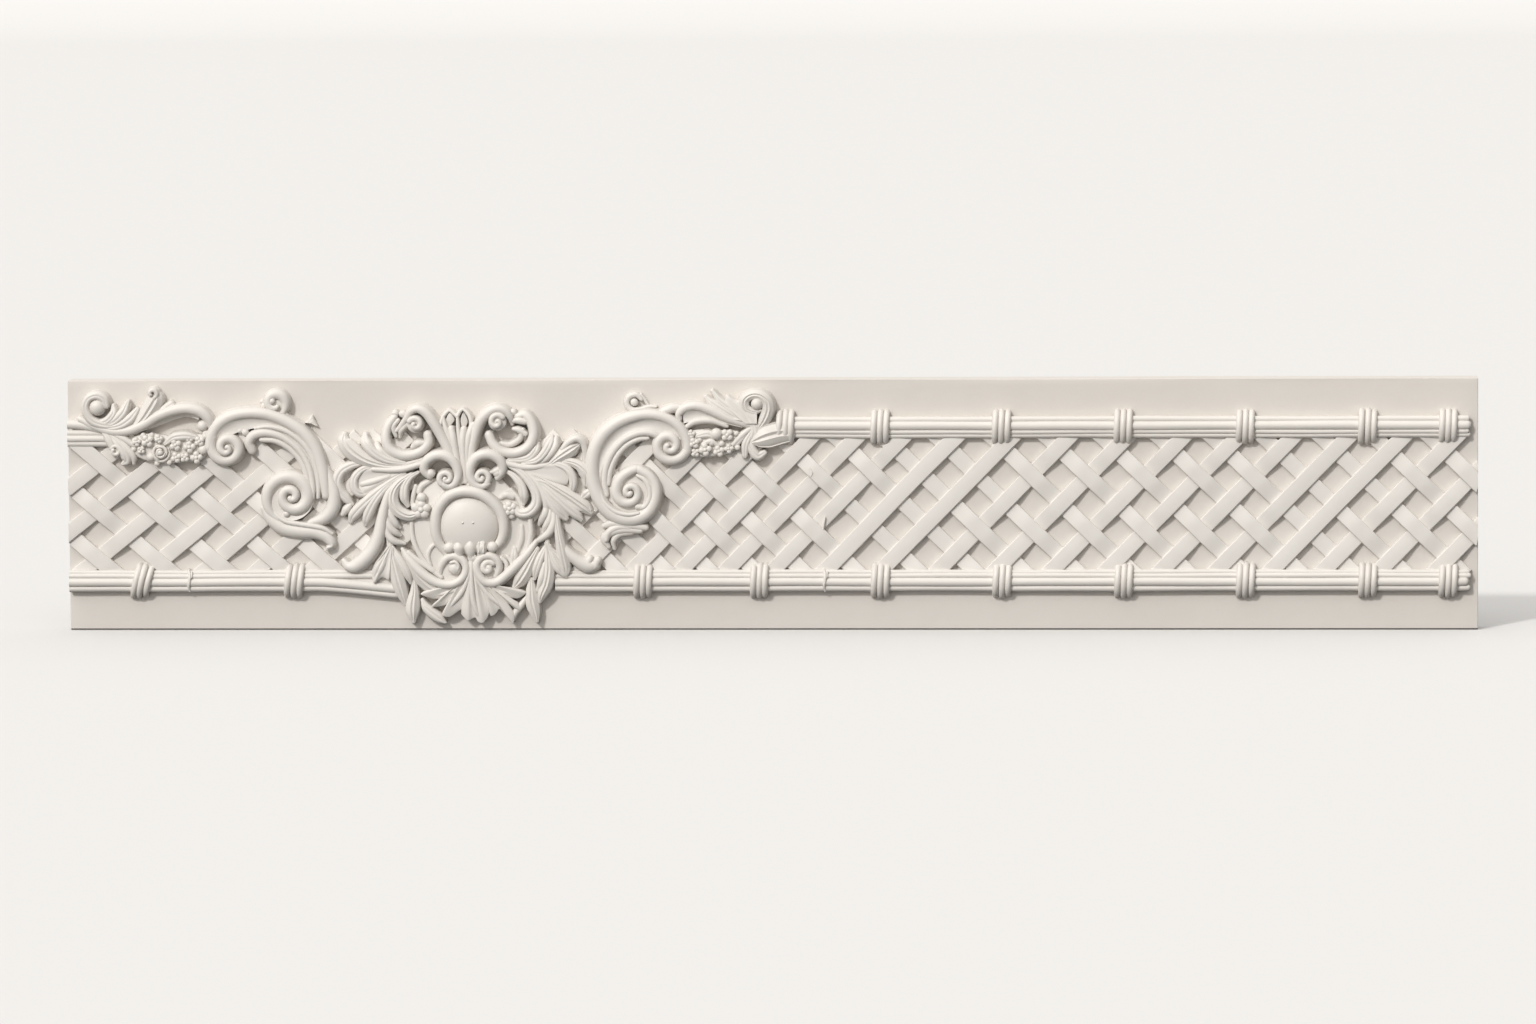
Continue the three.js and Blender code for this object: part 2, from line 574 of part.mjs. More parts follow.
const rightSprays = [
  [[489, 450, 2.2, 14], [507, 463, 2.8, 17], [528, 467.6, 2.8, 17], [550, 464.5, 2.6, 15]],
  [[510, 459.5, 2.4, 14.5], [527, 458.8, 3.8, 16], [536.5, 450, 3.8, 16], [538, 442.5, 2.2, 13]],
  [[530, 462.5, 2.8, 16], [545, 453, 3.8, 17.5], [552.5, 436, 2.2, 12.5]],
  [[542, 462, 2.6, 15], [554, 450, 3.6, 16.5], [557, 437, 2.2, 13]],
  [[549, 465.5, 2.4, 14], [562.5, 454, 5.4, 17], [575, 445, 6.6, 16.5], [581.5, 438.5, 3, 13]],
  [[548, 464, 2, 14], [564, 466, 3.2, 16], [573, 477, 3.8, 16.5], [571.5, 493.5, 1.8, 12]],
  [[562, 461, 2.4, 13], [579, 465.8, 4.2, 16], [587, 478, 4.6, 16], [585.5, 486, 3, 14]],
  [[534, 475, 3, 15.5], [557, 488, 4.4, 16.5], [578, 502, 6.4, 15.5], [591.5, 513.5, 2.4, 11.5]],
  [[536, 480, 3, 16], [556, 497, 4.4, 17], [572.5, 511, 5.2, 15.5], [581.5, 520.5, 1.8, 11.5]],
  [[535, 482, 3, 16.5], [549, 500, 4.2, 17.5], [559.5, 513, 4.8, 16], [566.5, 519, 2.6, 13]],
  [[511, 466, 2.4, 15.5], [529, 480, 4.2, 18], [537, 496, 4.8, 18.5], [531, 511, 4.8, 18],
    [516.5, 510.5, 3.6, 15.5]],
  [[524, 471, 2.8, 15.5], [540, 486.5, 3.4, 17], [547, 510, 2.8, 15.5]],
  [[507, 471, 1.8, 14], [519.5, 481, 4, 17], [524.5, 494, 4, 17], [523, 504, 1.8, 13]],
  [[546.8, 505, 2.6, 15.5], [544, 516, 3.6, 16], [538.5, 525, 1.6, 11.5]],
  [[550.5, 510, 2.4, 15.5], [548.5, 521.5, 3.2, 15.5], [542, 533.5, 1.4, 11.5]],
  [[553.5, 509, 2.4, 15.5], [552, 526.5, 3.6, 17], [536, 542, 1.8, 12.5]],
  [[556.5, 512, 2.4, 15.5], [560, 540, 4.2, 17.5], [564, 562, 5.6, 16.5], [565.5, 577, 1.8, 11.5]],
  [[560, 546, 3, 15.5], [575, 562, 4.8, 16], [590, 566, 6.6, 15.5], [599.5, 556, 2, 11.5]],
  [[547, 542, 2.4, 13.5], [548.6, 563, 5, 16], [545.5, 586, 6, 16], [538.5, 602.5, 1.8, 11]],
  [[545, 549, 2, 13], [537.5, 565, 4.4, 15.5], [533.6, 579.5, 1.6, 11.5]],
  [[530.8, 577, 2.4, 12], [531, 600, 6.6, 14], [536, 622, 1.6, 10.5]],
  [[549.5, 548, 2.2, 14], [554.5, 563, 4, 15.5], [563.5, 576, 1.8, 12]],
  [[536, 550, 2.2, 14], [526, 569, 5.4, 16], [512, 588.5, 1.8, 11]],
];
const palmette = [
  [[458, 586, 3, 14.5], [438, 593.4, 4, 13.5], [420.5, 594, 1.6, 10]],
  [[460, 588, 3, 15], [446, 599.5, 3.8, 14], [432.5, 605.5, 1.8, 11]],
  [[464, 587, 3, 16], [454, 603, 4.4, 15.5], [443.5, 616.5, 2, 11]],
  [[469, 580, 3, 16.5], [466, 602, 4.4, 16.5], [465, 619, 2, 12]],
  [[472.5, 580, 3, 16.5], [476, 603, 4.2, 16.5], [481, 622, 1.6, 11]],
  [[478, 588, 3, 16], [484.5, 601, 3.6, 15.5], [489, 612, 2.4, 13]],
  [[482, 587, 3.2, 15.5], [498, 602.5, 4.6, 15], [511, 622.5, 1.6, 10]],
  [[484, 587, 3.4, 14.5], [504, 592.6, 4.4, 14.5], [524.5, 592.5, 1.6, 10]],
  [[494, 597.5, 3, 13.5], [508, 601, 4, 13.5], [518.5, 609.5, 1.5, 10]],
  [[525.5, 596, 1.8, 11], [518, 609, 3.6, 12.5], [511.5, 622, 1.6, 9.5]],
];
const cartoucheKnobs = [
  knob(421, 498, 6, 17),
  flower(421.5, 510.5, 10.5, 18, 5, 0.3),
  knob(424, 484, 5, 13.5, 5),
  knob(344.8, 511.3, 5.2, 12.5),
  flower(509.5, 508.5, 7.4, 17, 4, 0.5),
  knob(508, 496, 7, 13),
  knob(586.5, 495, 5.4, 12.5),
  knob(473, 556.5, 4.6, 18, 5),
  knob(493.5, 546.5, 5, 16.5),
  knob(514.5, 557, 6.4, 12.5),
];
const shells = [
  plate([[374, 464], [404, 468], [390, 483], [374, 494], [358, 491], [356, 474]], 11.5),
  plate([[512, 464], [545, 463], [566, 468], [573, 486], [553, 486], [530, 475]], 12.5),
  plate([[455, 584], [487, 582], [502, 604], [484, 611], [459, 611], [446, 600]], 12.5),
  plate([[404, 452], [428, 452], [428, 462], [396, 468], [380, 456]], 13),
  plate([[494, 450], [520, 452], [540, 455], [546, 466], [514, 467]], 13),
];
const leaves = [crest, leftSprays, rightSprays, palmette].flat().map((line) => strand(line, LEAF));
const scrolls = stems.concat(bowls).map((line) => strand(line));
const cartoucheSolid = joined([
  cartouchePlate, ring, dome(470, 526, 32, 30.5, 9.5, 19.5), berries, cartoucheVolutes, crestPlate,
  scrolls, bowlTrims, leaves, cartoucheKnobs, shells,
]);

// C-scrolls
const leftScroll = joined([
  volute(226.5, 446.5, 165, 1.9, 14.5, 2.6, 4.8, 2.6, 14, 18),
  volute(289.5, 497, 20, -1.75, 22, 3.4, 5.4, 3.6, 15, 19, 10),
  [
    [[210, 458, 3, 13], [207.5, 443, 4.8, 14], [213, 428.5, 5.6, 15], [225, 419.5, 6, 16],
      [240, 415.5, 6.5, 16.5], [256, 414.8, 6.5, 17], [272, 418, 6.5, 17], [288, 425.5, 6.5, 17],
      [302.5, 437, 6.5, 17], [313.5, 452, 6.5, 17], [320, 468, 6, 17], [323.5, 484, 5.2, 17],
      [324.5, 498, 4, 16]],
    [[250, 450, 3.2, 12], [251, 441.5, 4.6, 14], [260, 437, 4.6, 15], [274, 438.4, 4.4, 15],
      [290, 446.5, 4.2, 15], [303, 459, 4.2, 15], [310.5, 474, 4.2, 15.5], [312, 490, 4.4, 15.5]],
    [[266, 509, 3, 12], [278, 518.5, 4.6, 13.5], [296, 526, 6.4, 14.5], [315, 531, 6.6, 14.5],
      [329.5, 538.5, 5.4, 14], [326, 548.5, 2.8, 12]],
    [[325, 460, 4, 14], [329.5, 478, 5.4, 16], [332.5, 493, 6.4, 17], [331, 507, 6.8, 17],
      [323, 517.5, 6, 16], [311, 523.5, 4, 14]],
    [[296, 414.5, 1.6, 9], [306, 417, 4, 12], [316, 424, 5, 13], [324, 434, 4, 13],
      [328, 444, 2, 11]],
  ].map((line) => strand(line)),
  knob(246, 432.5, 4.2, 14, 6),
  knob(286.5, 513.5, 3.6, 16, 6),
]);

const rightScroll = joined([
  volute(670, 445, 20, -1.9, 13.6, 2.4, 4.4, 2.4, 14, 18),
  volute(629.5, 492.5, 95, 1.5, 15.6, 3, 4.8, 3.2, 15, 19, 10),
  [
    [[685.5, 458, 3, 13], [688, 445, 4.4, 14], [685, 432, 5, 14.5], [677, 422.5, 5.4, 15],
      [665, 416, 5.8, 16], [650, 413.8, 6, 16.5], [634.5, 415.5, 6.2, 17], [619, 422, 6.4, 17],
      [605, 433.5, 6.6, 17], [595.5, 449, 6.6, 17], [591, 466, 6.4, 17], [591, 484, 6, 17],
      [595, 500.5, 6, 17], [603.5, 513.5, 6.2, 17], [616, 522.5, 6.2, 17], [630.5, 524, 6, 17],
      [644, 518.5, 5.6, 16.5], [654.5, 507.5, 5.2, 16], [659, 494, 4.8, 15]],
    [[657, 442, 2.6, 12], [652.5, 434, 3.6, 14], [642, 430.5, 4, 15], [628, 433.5, 4, 15],
      [615.5, 443.5, 4, 15], [607, 457.5, 4, 15], [602, 473, 4, 15], [601, 490, 3.6, 14]],
    [[620, 472, 2.6, 14], [634, 469.5, 4.4, 16], [647, 475.5, 5, 16.5], [653, 487, 4.8, 16.5],
      [650.5, 498.5, 4.4, 16], [643, 506, 3.8, 15], [637.5, 508.5, 2.6, 13]],
    [[634, 530, 3, 12], [619, 530, 5, 14], [608, 534.5, 5.4, 15], [606.5, 543.5, 4.6, 14],
      [611, 550, 2.8, 12]],
    [[690, 414.5, 1.6, 9], [682, 411.5, 4, 12], [672, 411.5, 4, 13], [662, 414.5, 3, 13]],
  ].map((line) => strand(line)),
]);

// Sprays and garlands
const leftSpray = joined([
  [
    [[118, 424, 3, 13], [102, 422.5, 4, 14], [89.5, 417.5, 4, 14.5], [84.8, 407, 3.6, 15],
      [88.5, 398, 3.4, 15], [97.5, 394.5, 3.2, 14.5], [107, 398, 3.6, 14], [111, 404, 2, 12]],
    [[92, 424, 3, 12], [106, 421, 3.8, 14], [113.5, 413, 3.6, 14], [113.5, 405, 1.8, 11]],
    [[96, 426, 3, 12], [112, 422.5, 4, 14], [123, 413, 4.6, 15], [128.5, 401, 1.8, 11.5]],
    [[100, 428, 3, 12], [118, 426, 4, 14.5], [130, 419, 5, 15], [137.5, 409.5, 2.4, 12]],
    [[132, 430, 3, 13], [142, 420.5, 6, 15], [150.5, 409, 8, 16], [156.5, 398.5, 7.4, 16],
      [156.5, 391.5, 3.4, 12]],
    [[152, 421, 2.4, 12], [161.5, 411.5, 4, 13], [171.5, 404.5, 3.8, 11.5]],
    [[68, 425, 7, 11.5], [88, 427, 6.4, 12], [108, 430, 4.8, 13], [127, 430.5, 4.8, 14],
      [144, 426, 5.6, 15], [160, 418.5, 6.6, 15.5], [176, 413.2, 7, 16], [192, 412, 6.4, 16],
      [203.5, 414.5, 5, 15.5], [207, 422, 3.8, 14.5]],
    [[104, 432, 2.4, 12], [109, 441, 3.8, 13.5], [115, 451, 6, 14.5], [117, 457, 3, 12]],
    [[110, 435, 2.4, 12], [119, 443.5, 3.8, 14], [127, 453.5, 5.4, 14.5], [131, 463.5, 3.4, 12]],
    [[112, 433.5, 2.2, 12], [124, 439.5, 3, 13], [135, 446, 2.8, 13]],
    [[166, 443, 2.2, 14], [178, 441, 4.2, 15], [190, 439.5, 5.6, 15.5], [199, 438.5, 3, 14]],
  ].map((line) => strand(line)),
  knob(98.5, 407, 8.6, 16, 9),
  knob(202, 426.5, 5.4, 15, 6),
  flower(160, 452, 11, 17, 6, 0.2),
  flower(176, 457, 6.6, 15.5, 4, 0.4),
  flower(184.5, 456.5, 5.4, 15, 4, 0.9),
  flower(194.5, 457, 7, 15.5, 5, 0.1),
  knob(203.5, 452.5, 5, 14, 6),
  knob(204, 442, 4.6, 14, 6),
  flower(151, 441, 6.4, 16, 5, 0.6),
  flower(159.5, 439, 5.4, 15, 4, 0.3),
  knob(135.5, 443, 5.4, 14.5, 6),
  knob(142.5, 436.5, 5, 14, 6),
  knob(140, 450.5, 5.6, 14, 6),
  flower(143.5, 457, 6.6, 14.5, 4, 0.2),
]);

const rightSpray = joined([
  [
    [[747, 424, 3, 13], [760, 419, 5, 14.5], [767.5, 409, 5.6, 15.5], [767, 399, 5.4, 16],
      [758, 394, 4, 16], [748.5, 396.5, 4.2, 15.5], [744, 404.5, 4.4, 14.5], [748, 413, 3, 13]],
    [[755, 424, 3, 13], [738, 417, 4.2, 14], [722, 408, 4.6, 14], [711, 399.5, 4, 12.5],
      [706, 395, 1.8, 10.5]],
    [[752, 420, 3, 13], [736, 411.5, 4.2, 14], [722, 402, 3.6, 13], [714, 393, 1.6, 10.5]],
    [[750, 416, 3, 14], [738, 409, 4.6, 15], [730, 402.5, 4, 14], [727, 396.5, 1.8, 11]],
    [[753, 425, 3, 13], [735, 422, 4.2, 14], [717, 414.5, 5.6, 15], [700, 409, 6, 15.5],
      [686.5, 409, 5.4, 15], [679, 414.5, 4, 14], [680.5, 421, 2.6, 12.5]],
    [[727, 426.5, 2, 12], [708, 421.5, 2.8, 13], [693.5, 422.5, 2.8, 13], [687, 428, 2.4, 12]],
    [[752, 428, 2.4, 12.5], [743, 436, 3.6, 14], [735, 444.5, 3.4, 13.5]],
    [[750, 432, 2.2, 12], [745, 445, 3.6, 14], [745, 457, 2.8, 12.5]],
    [[749, 436, 2.2, 12], [751, 448, 3.8, 13.5], [757.5, 456.5, 3.8, 13], [764, 453, 2.4, 11.5]],
    [[778, 428.5, 3.4, 13], [768, 431, 3.8, 14.5], [757, 438, 2.2, 12.5]],
    [[778, 435, 3.4, 14], [766, 438, 4, 15.5], [753.5, 442, 2.2, 12.5]],
    [[777, 441.5, 3.4, 13], [767, 445, 4, 14.5], [755, 446.5, 2.2, 12.5]],
    [[751, 424, 3, 13], [755, 432, 4, 14], [753, 441, 3, 13]],
    [[696, 441, 2.2, 13.5], [706, 438.5, 4, 14.5], [716, 440, 2.4, 13.5]],
  ].map((line) => strand(line)),
  knob(757, 404.5, 7, 17, 9),
  flower(717, 436, 8, 16.5, 5, 0.3),
  flower(728, 435, 8, 16.5, 5, 0.8),
  knob(690.5, 434.5, 5.4, 14.5, 6),
  flower(694, 443, 6.4, 15.5, 5, 0.5),
  flower(705, 449, 7.4, 16, 5, 0.2),
  knob(696.5, 453, 6, 14.5, 6),
  flower(719.5, 450.5, 7, 15.5, 4, 0.4),
  flower(728.5, 449.5, 5.8, 15, 4, 0.1),
  knob(737, 448.5, 4, 13.5, 6),
]);

// Small curls above the C-scrolls
const leftCurl = joined([
  [[[252, 405.5, 1.6, 9], [262, 406.5, 2.6, 11], [270, 411, 2.4, 12], [280, 412.5, 3.4, 13],
    [288, 406.5, 3.8, 13.5], [287, 397.5, 3.8, 13.5], [278.5, 392.5, 3.4, 13], [270, 396, 3, 12],
    [267.5, 403, 2, 11]]].map((line) => strand(line)),
  knob(276.5, 403, 6.4, 13, 8),
]);
const rightCurl = joined([
  [[[658, 405.5, 1.6, 8], [648, 406.5, 2.4, 9.5], [640, 410, 2.2, 10], [632, 410.5, 2.8, 10.5],
    [626.5, 404.5, 3, 11], [629, 397.5, 3, 11], [636.5, 395.5, 2.6, 10.5],
    [642, 400, 2, 9.5]]].map((line) => strand(line)),
  knob(634.5, 403, 4.8, 11, 8),
]);

// Each ornament stands clear of what lies under it and of the ornaments set before it
function clearOf(solid, placedBefore) {
  let left = solid;
  placedBefore.forEach((neighbour) => {
    const { min, max } = left.boundingBox();
    const near = neighbour.intersect(box(min[0] - 1, max[0] + 1, 60, min[2] - 1, max[2] + 1, 0));
    if (!near.isEmpty()) {
      [[GAP, GAP], [-GAP, GAP], [GAP, -GAP], [-GAP, -GAP]].forEach(([dx, dz]) => {
        left = left.subtract(near.translate([dx, 0, dz]));
      });
    }
  });
  return largest(left);
}

const ends = box(-half, half, 60, 0, HEIGHT, 0);
const placed = {};
[
  ['central_cartouche', cartoucheSolid],
  ['left_c_scroll', leftScroll],
  ['right_c_scroll', rightScroll],
  ['left_garland_spray', leftSpray],
  ['right_garland_spray', rightSpray],
  ['left_curl', leftCurl],
  ['right_curl', rightCurl],
].forEach(([name, solid]) => {
  placed[name] = clearOf(largest(solid.intersect(ends).subtract(band)), Object.values(placed));
});

// Colours of the painted plaster
const WARM_WHITE = '#e3dcd2';
const SHADE = '#dad2c7';

function mesh(name, solid, colour, roughness) {
  const data = solid.getMesh();
  const geometry = new THREE.BufferGeometry();
  geometry.setAttribute('position', new THREE.BufferAttribute(new Float32Array(data.vertProperties), 3));
  geometry.setIndex(new THREE.BufferAttribute(new Uint32Array(data.triVerts), 1));
  geometry.computeVertexNormals();
  const material = new THREE.MeshStandardMaterial({ color: colour, roughness, metalness: 0 });
  const node = new THREE.Mesh(geometry, material);
  node.name = name;
  return node;
}

const part = new THREE.Group();
part.name = 'crown_moulding';
part.add(mesh('backing_board', board, WARM_WHITE, 0.62));
part.add(mesh('basketweave_lattice_left', latticeLeft, SHADE, 0.6));
part.add(mesh('basketweave_lattice_right', latticeRight, SHADE, 0.6));
Object.entries(railBodies).forEach(([name, solid]) => part.add(mesh(name, solid, WARM_WHITE, 0.55)));
Object.entries(placed).forEach(([name, solid]) => part.add(mesh(name, solid, WARM_WHITE, 0.55)));

export default part;
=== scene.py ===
# Crown moulding: a flat board with woven slats, reed rails with three-turn ties, a domed cartouche,
# two C-scrolls, two sprays with garlands of flowers and two small curls, all in pale matt plaster.
import math
import bmesh
import bpy
import numpy as np
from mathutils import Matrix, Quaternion, Vector


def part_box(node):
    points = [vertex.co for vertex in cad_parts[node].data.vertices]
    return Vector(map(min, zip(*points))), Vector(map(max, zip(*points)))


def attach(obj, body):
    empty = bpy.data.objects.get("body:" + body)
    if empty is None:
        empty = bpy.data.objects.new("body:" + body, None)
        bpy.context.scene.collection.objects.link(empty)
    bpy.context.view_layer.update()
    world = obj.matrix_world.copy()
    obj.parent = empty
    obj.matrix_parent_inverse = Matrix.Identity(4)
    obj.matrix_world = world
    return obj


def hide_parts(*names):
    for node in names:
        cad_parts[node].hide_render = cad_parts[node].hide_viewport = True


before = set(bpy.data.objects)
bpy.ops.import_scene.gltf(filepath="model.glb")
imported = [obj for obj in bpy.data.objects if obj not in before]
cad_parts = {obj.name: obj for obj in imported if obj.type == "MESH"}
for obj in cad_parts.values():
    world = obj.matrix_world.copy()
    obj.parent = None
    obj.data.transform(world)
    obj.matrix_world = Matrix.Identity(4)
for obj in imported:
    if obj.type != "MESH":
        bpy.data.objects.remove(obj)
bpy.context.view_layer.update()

# The ornament is set out on squares: columns along the board, rows up it, heights proud of its face
board_low, board_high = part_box("backing_board")
LENGTH = board_high.x - board_low.x
HEIGHT = board_high.z - board_low.z
FACE = board_low.y
COLUMNS, ROWS = 1404, 250
SQUARE = HEIGHT / ROWS
DOME_COLUMN, DOME_SHARE = 465, -0.2162
FLOOR_ROW = 631
MM = 0.001


def across(column):
    """Place along the board: the dome's share of the length, and so many columns on from there."""
    return DOME_SHARE * LENGTH + (column - DOME_COLUMN) * LENGTH / COLUMNS


def up(row):
    """Height over the floor, as rows count down from the top."""
    return (FLOOR_ROW - row) * SQUARE


# Surfaces: a shell is its points, then its faces in groups with the same number of corners

def smooth_line(stations, per):
    """Curve through the stations: each stretch blends its four nearest stations by cubic weights of the share."""
    p = np.asarray(stations, float)
    if per <= 1:
        return p
    p = np.vstack([2 * p[0] - p[1], p, 2 * p[-1] - p[-2]])
    stretches = len(p) - 3
    t = np.linspace(0, stretches, stretches * per + 1)
    i = np.minimum(t.astype(int), stretches - 1)
    u = (t - i)[:, None]
    a, b, c, d = p[i], p[i + 1], p[i + 2], p[i + 3]
    return 0.5 * (2 * b + (c - a) * u + (2 * a - 5 * b + 4 * c - d) * u ** 2 + (3 * b - a - 3 * c + d) * u ** 3)


def skin(rings):
    """Quads from each ring to the next, all round, with one face over the first ring and one over the last."""
    count, around = rings.shape[:2]
    i, j = np.meshgrid(np.arange(count - 1), np.arange(around), indexing="ij")
    a = i * around + j
    b = i * around + (j + 1) % around
    quads = np.stack([a, b, b + around, a + around], -1).reshape(-1, 4)
    first = np.arange(around)
    return rings.reshape(-1, 3), [quads, first[None, ::-1], first[None] + (count - 1) * around]


ARC = np.radians(np.linspace(-90, 90, 13))
SIDE = np.sin(ARC)
DROP = 1 - np.cos(ARC)
# How far each kind of section falls from its crest, as a share of the half width, against the share across
ROUND = 0.92 * DROP
VEINED = 0.8 * DROP + 0.17 * np.exp(-(SIDE / 0.2) ** 2)
RIBBED = 0.78 * DROP + 0.1 * (1 - np.cos(2 * np.pi * SIDE * 1.5 + np.pi)) * (1 - 0.5 * SIDE ** 2)
PLEATED = 0.46 * DROP + 0.1 * (1 - np.cos(2 * np.pi * SIDE * 2.5 + np.pi))
# Ends of a strand, the least half width and height that it keeps, and the slope of its walls
END_TURNS = np.radians([86.0, 60.0, 30.0])
THINNEST, LOWEST, DRAFT = 0.3, 0.5, 0.1


def strand(stations, section=ROUND, per=6):
    """Section carried along a curve: a point sits half width times sine of the arc to the side, and its height
    falls by the section's share of the half width. Both ends close in a quarter round, and steep walls run down
    to the face of the board. Each station is column, row, half width and height."""
    line = smooth_line(stations, per)
    line[:, 2] = np.maximum(line[:, 2], THINNEST)
    step = np.gradient(line[:, :2], axis=0)
    step /= np.linalg.norm(step, axis=1)[:, None] + 1e-9
    turn = END_TURNS
    ends = []
    for place, sign in ((0, -1), (-1, 1)):
        half, high = line[place, 2], line[place, 3]
        spot = line[place, :2] + sign * np.sin(turn)[:, None] * half * step[place]
        ends.append(np.column_stack([spot, half * np.cos(turn), high - 0.8 * half * (1 - np.cos(turn))]))
    line = np.vstack([ends[0], line, ends[1][::-1]])
    step = np.vstack([np.repeat(step[:1], 3, 0), step, np.repeat(step[-1:], 3, 0)])
    col, row, half, high = line.T
    normal = np.column_stack([-step[:, 1], step[:, 0]])
    side = half[:, None] * SIDE[None, :]
    level = np.maximum(high[:, None] - half[:, None] * section[None, :], LOWEST)
    wall = DRAFT * high * np.clip(half / 2, 0.02, 1)
    side = np.column_stack([side[:, 0] - wall, side, side[:, -1] + wall])
    level = np.pad(level, ((0, 0), (1, 1)))
    x = np.maximum(across(col[:, None] + normal[:, :1] * side), board_low.x)
    z = up(row[:, None] + normal[:, 1:] * side)
    return skin(np.stack([x, FACE - level * SQUARE, z], -1))


def ribbon(first, second, profile):
    """Surface ruled between two edge curves: the share across picks the place between them, and the profile gives
    the height there as a share of the edges' own height."""
    a, b = smooth_line(first, 6), smooth_line(second, 6)
    share = np.linspace(0, 1, len(profile))
    spot = a[:, None, :2] * (1 - share)[None, :, None] + b[:, None, :2] * share[None, :, None]
    high = (a[:, 2:3] * (1 - share) + b[:, 2:3] * share) * np.asarray(profile, float)[None, :]
    spot = np.concatenate([spot[:, :1], spot, spot[:, -1:]], 1)
    high = np.pad(high, ((0, 0), (1, 1)))
    return skin(np.stack([across(spot[..., 0]), FACE - high * SQUARE, up(spot[..., 1])], -1))


# Shares of the radius at which the rings of a round form lie, from the foot of its wall to its middle
KNOB_RINGS = (1.03, 1.0, 0.985, 0.94, 0.86, 0.76, 0.64, 0.52, 0.4, 0.28, 0.16, 0.03)
DOME_RINGS = (1.02, 1.0, 0.99, 0.96, 0.91, 0.84, 0.75, 0.64, 0.52, 0.39, 0.26, 0.13, 0.02)


def polar(column, row, rings, wide, tall, level, sides):
    """Round form: a point sits at a share of the half width and half height by cosine and sine of its angle, level
    gives its height at that share, and the first ring is the foot of a steep wall."""
    angle = np.linspace(0, 2 * np.pi, sides, endpoint=False)
    s, a = np.array(rings)[:, None], angle[None, :]
    high = level(np.minimum(s, 1.0)) * np.ones((1, sides))
    high[0] = 0
    x = across(column + s * wide * np.cos(a))
    z = up(row - s * tall * np.sin(a))
    return skin(np.stack([x, FACE - high * SQUARE, z], -1))


def knob(column, row, radius, high, crown=0.8, sides=20):
    """Ball head: the height falls from the crest by crown times the radius as a circle does."""
    return polar(column, row, KNOB_RINGS, radius, radius,
                 lambda s: high - crown * radius * (1 - np.sqrt(np.maximum(1 - s ** 2, 0))), sides)


def dish(column, row, radius, low, high):
    """Hollow disc: the height rises from the middle to the rim as the share to the power 2.5."""
    return polar(column, row, KNOB_RINGS, radius, radius, lambda s: low + (high - low) * s ** 2.5, 48)


def oval(column, row, wide, tall, rim, high, power):
    """Domed oval: the height is the rim plus the rise times the root of one less a power of the share."""
    return polar(column, row, DOME_RINGS, wide, tall,
                 lambda s: rim + (high - rim) * np.sqrt(np.maximum(1 - s ** power, 0)), 56)


def flower(column, row, radius, high, petals, turn):
    """Bloom: ball petals stand in a ring at 0.54 of the radius, evenly by angle, about an eye that stands higher."""
    shells = [knob(column, row, 0.34 * radius, high, 0.9, 14),
              knob(column, row, 0.7 * radius, high - 0.3 * radius, 0.5, 16)]
    for n in range(petals):
        a = turn + 2 * math.pi * n / petals
        shells.append(knob(column + 0.54 * radius * math.cos(a), row - 0.54 * radius * math.sin(a), 0.5 * radius,
                           high - 0.1 * radius, 0.8, 14))
    return shells


def rose(column, row, radius, high):
    """Full bloom: bands wrap the eye, each 130 degrees on from the last and a little lower and farther out."""
    shells = [knob(column, row, 0.3 * radius, high, 0.8, 14),
              knob(column, row, radius, high - 0.5 * radius, 0.4, 24)]
    half = np.array([0.05, 0.12, 0.15, 0.15, 0.12, 0.05]) * radius
    for n in range(5):
        reach, start = (0.3 + 0.135 * n) * radius, 60 + 130 * n
        a = np.radians(start + np.linspace(0, 165, 6))
        shells.append(strand(np.column_stack([column + reach * np.cos(a), row - reach * np.sin(a), half,
                                              np.full(6, high - (0.05 + 0.09 * n) * radius)]), per=3))
    return shells


# Shares of the way from root to rim at which a leaf has points, its two walls last and first
RAY_SHARES = np.array([0, 0, 0.12, 0.3, 0.5, 0.68, 0.82, 0.92, 0.975, 1.0, 1.0])


def leaf(root, rim, high, tip, depth=0.8, lobe=2):
    """Ribbed blade: rays run from the root curve to the rim, which has a notch every so many stations with a tip
    between. The height goes from high to tip along a ray, and a cosine of the station raises the tips by depth."""
    edge = smooth_line(rim, 6)
    t = np.linspace(0, len(rim) - 1, len(edge))
    root = np.asarray(root, float)
    at = t / t[-1] * (len(root) - 1)
    start = np.column_stack([np.interp(at, np.arange(len(root)), root[:, k]) for k in (0, 1)])
    s = RAY_SHARES[None, :]
    wave = -np.cos(2 * np.pi * t / lobe)[:, None] + 0.35 * np.cos(4 * np.pi * t / lobe)[:, None]
    level = high + (tip - high) * s ** 1.3 + depth * wave * np.sin(np.pi * np.clip(s * 0.85, 0, 1)) - 1.5 * s ** 14
    level[:, 0] = level[:, -1] = 0
    spot = start[:, None] * (1 - s[..., None]) + edge[:, None] * s[..., None]
    return skin(np.stack([across(spot[..., 0]), FACE - np.maximum(level, 0) * SQUARE, up(spot[..., 1])], -1))


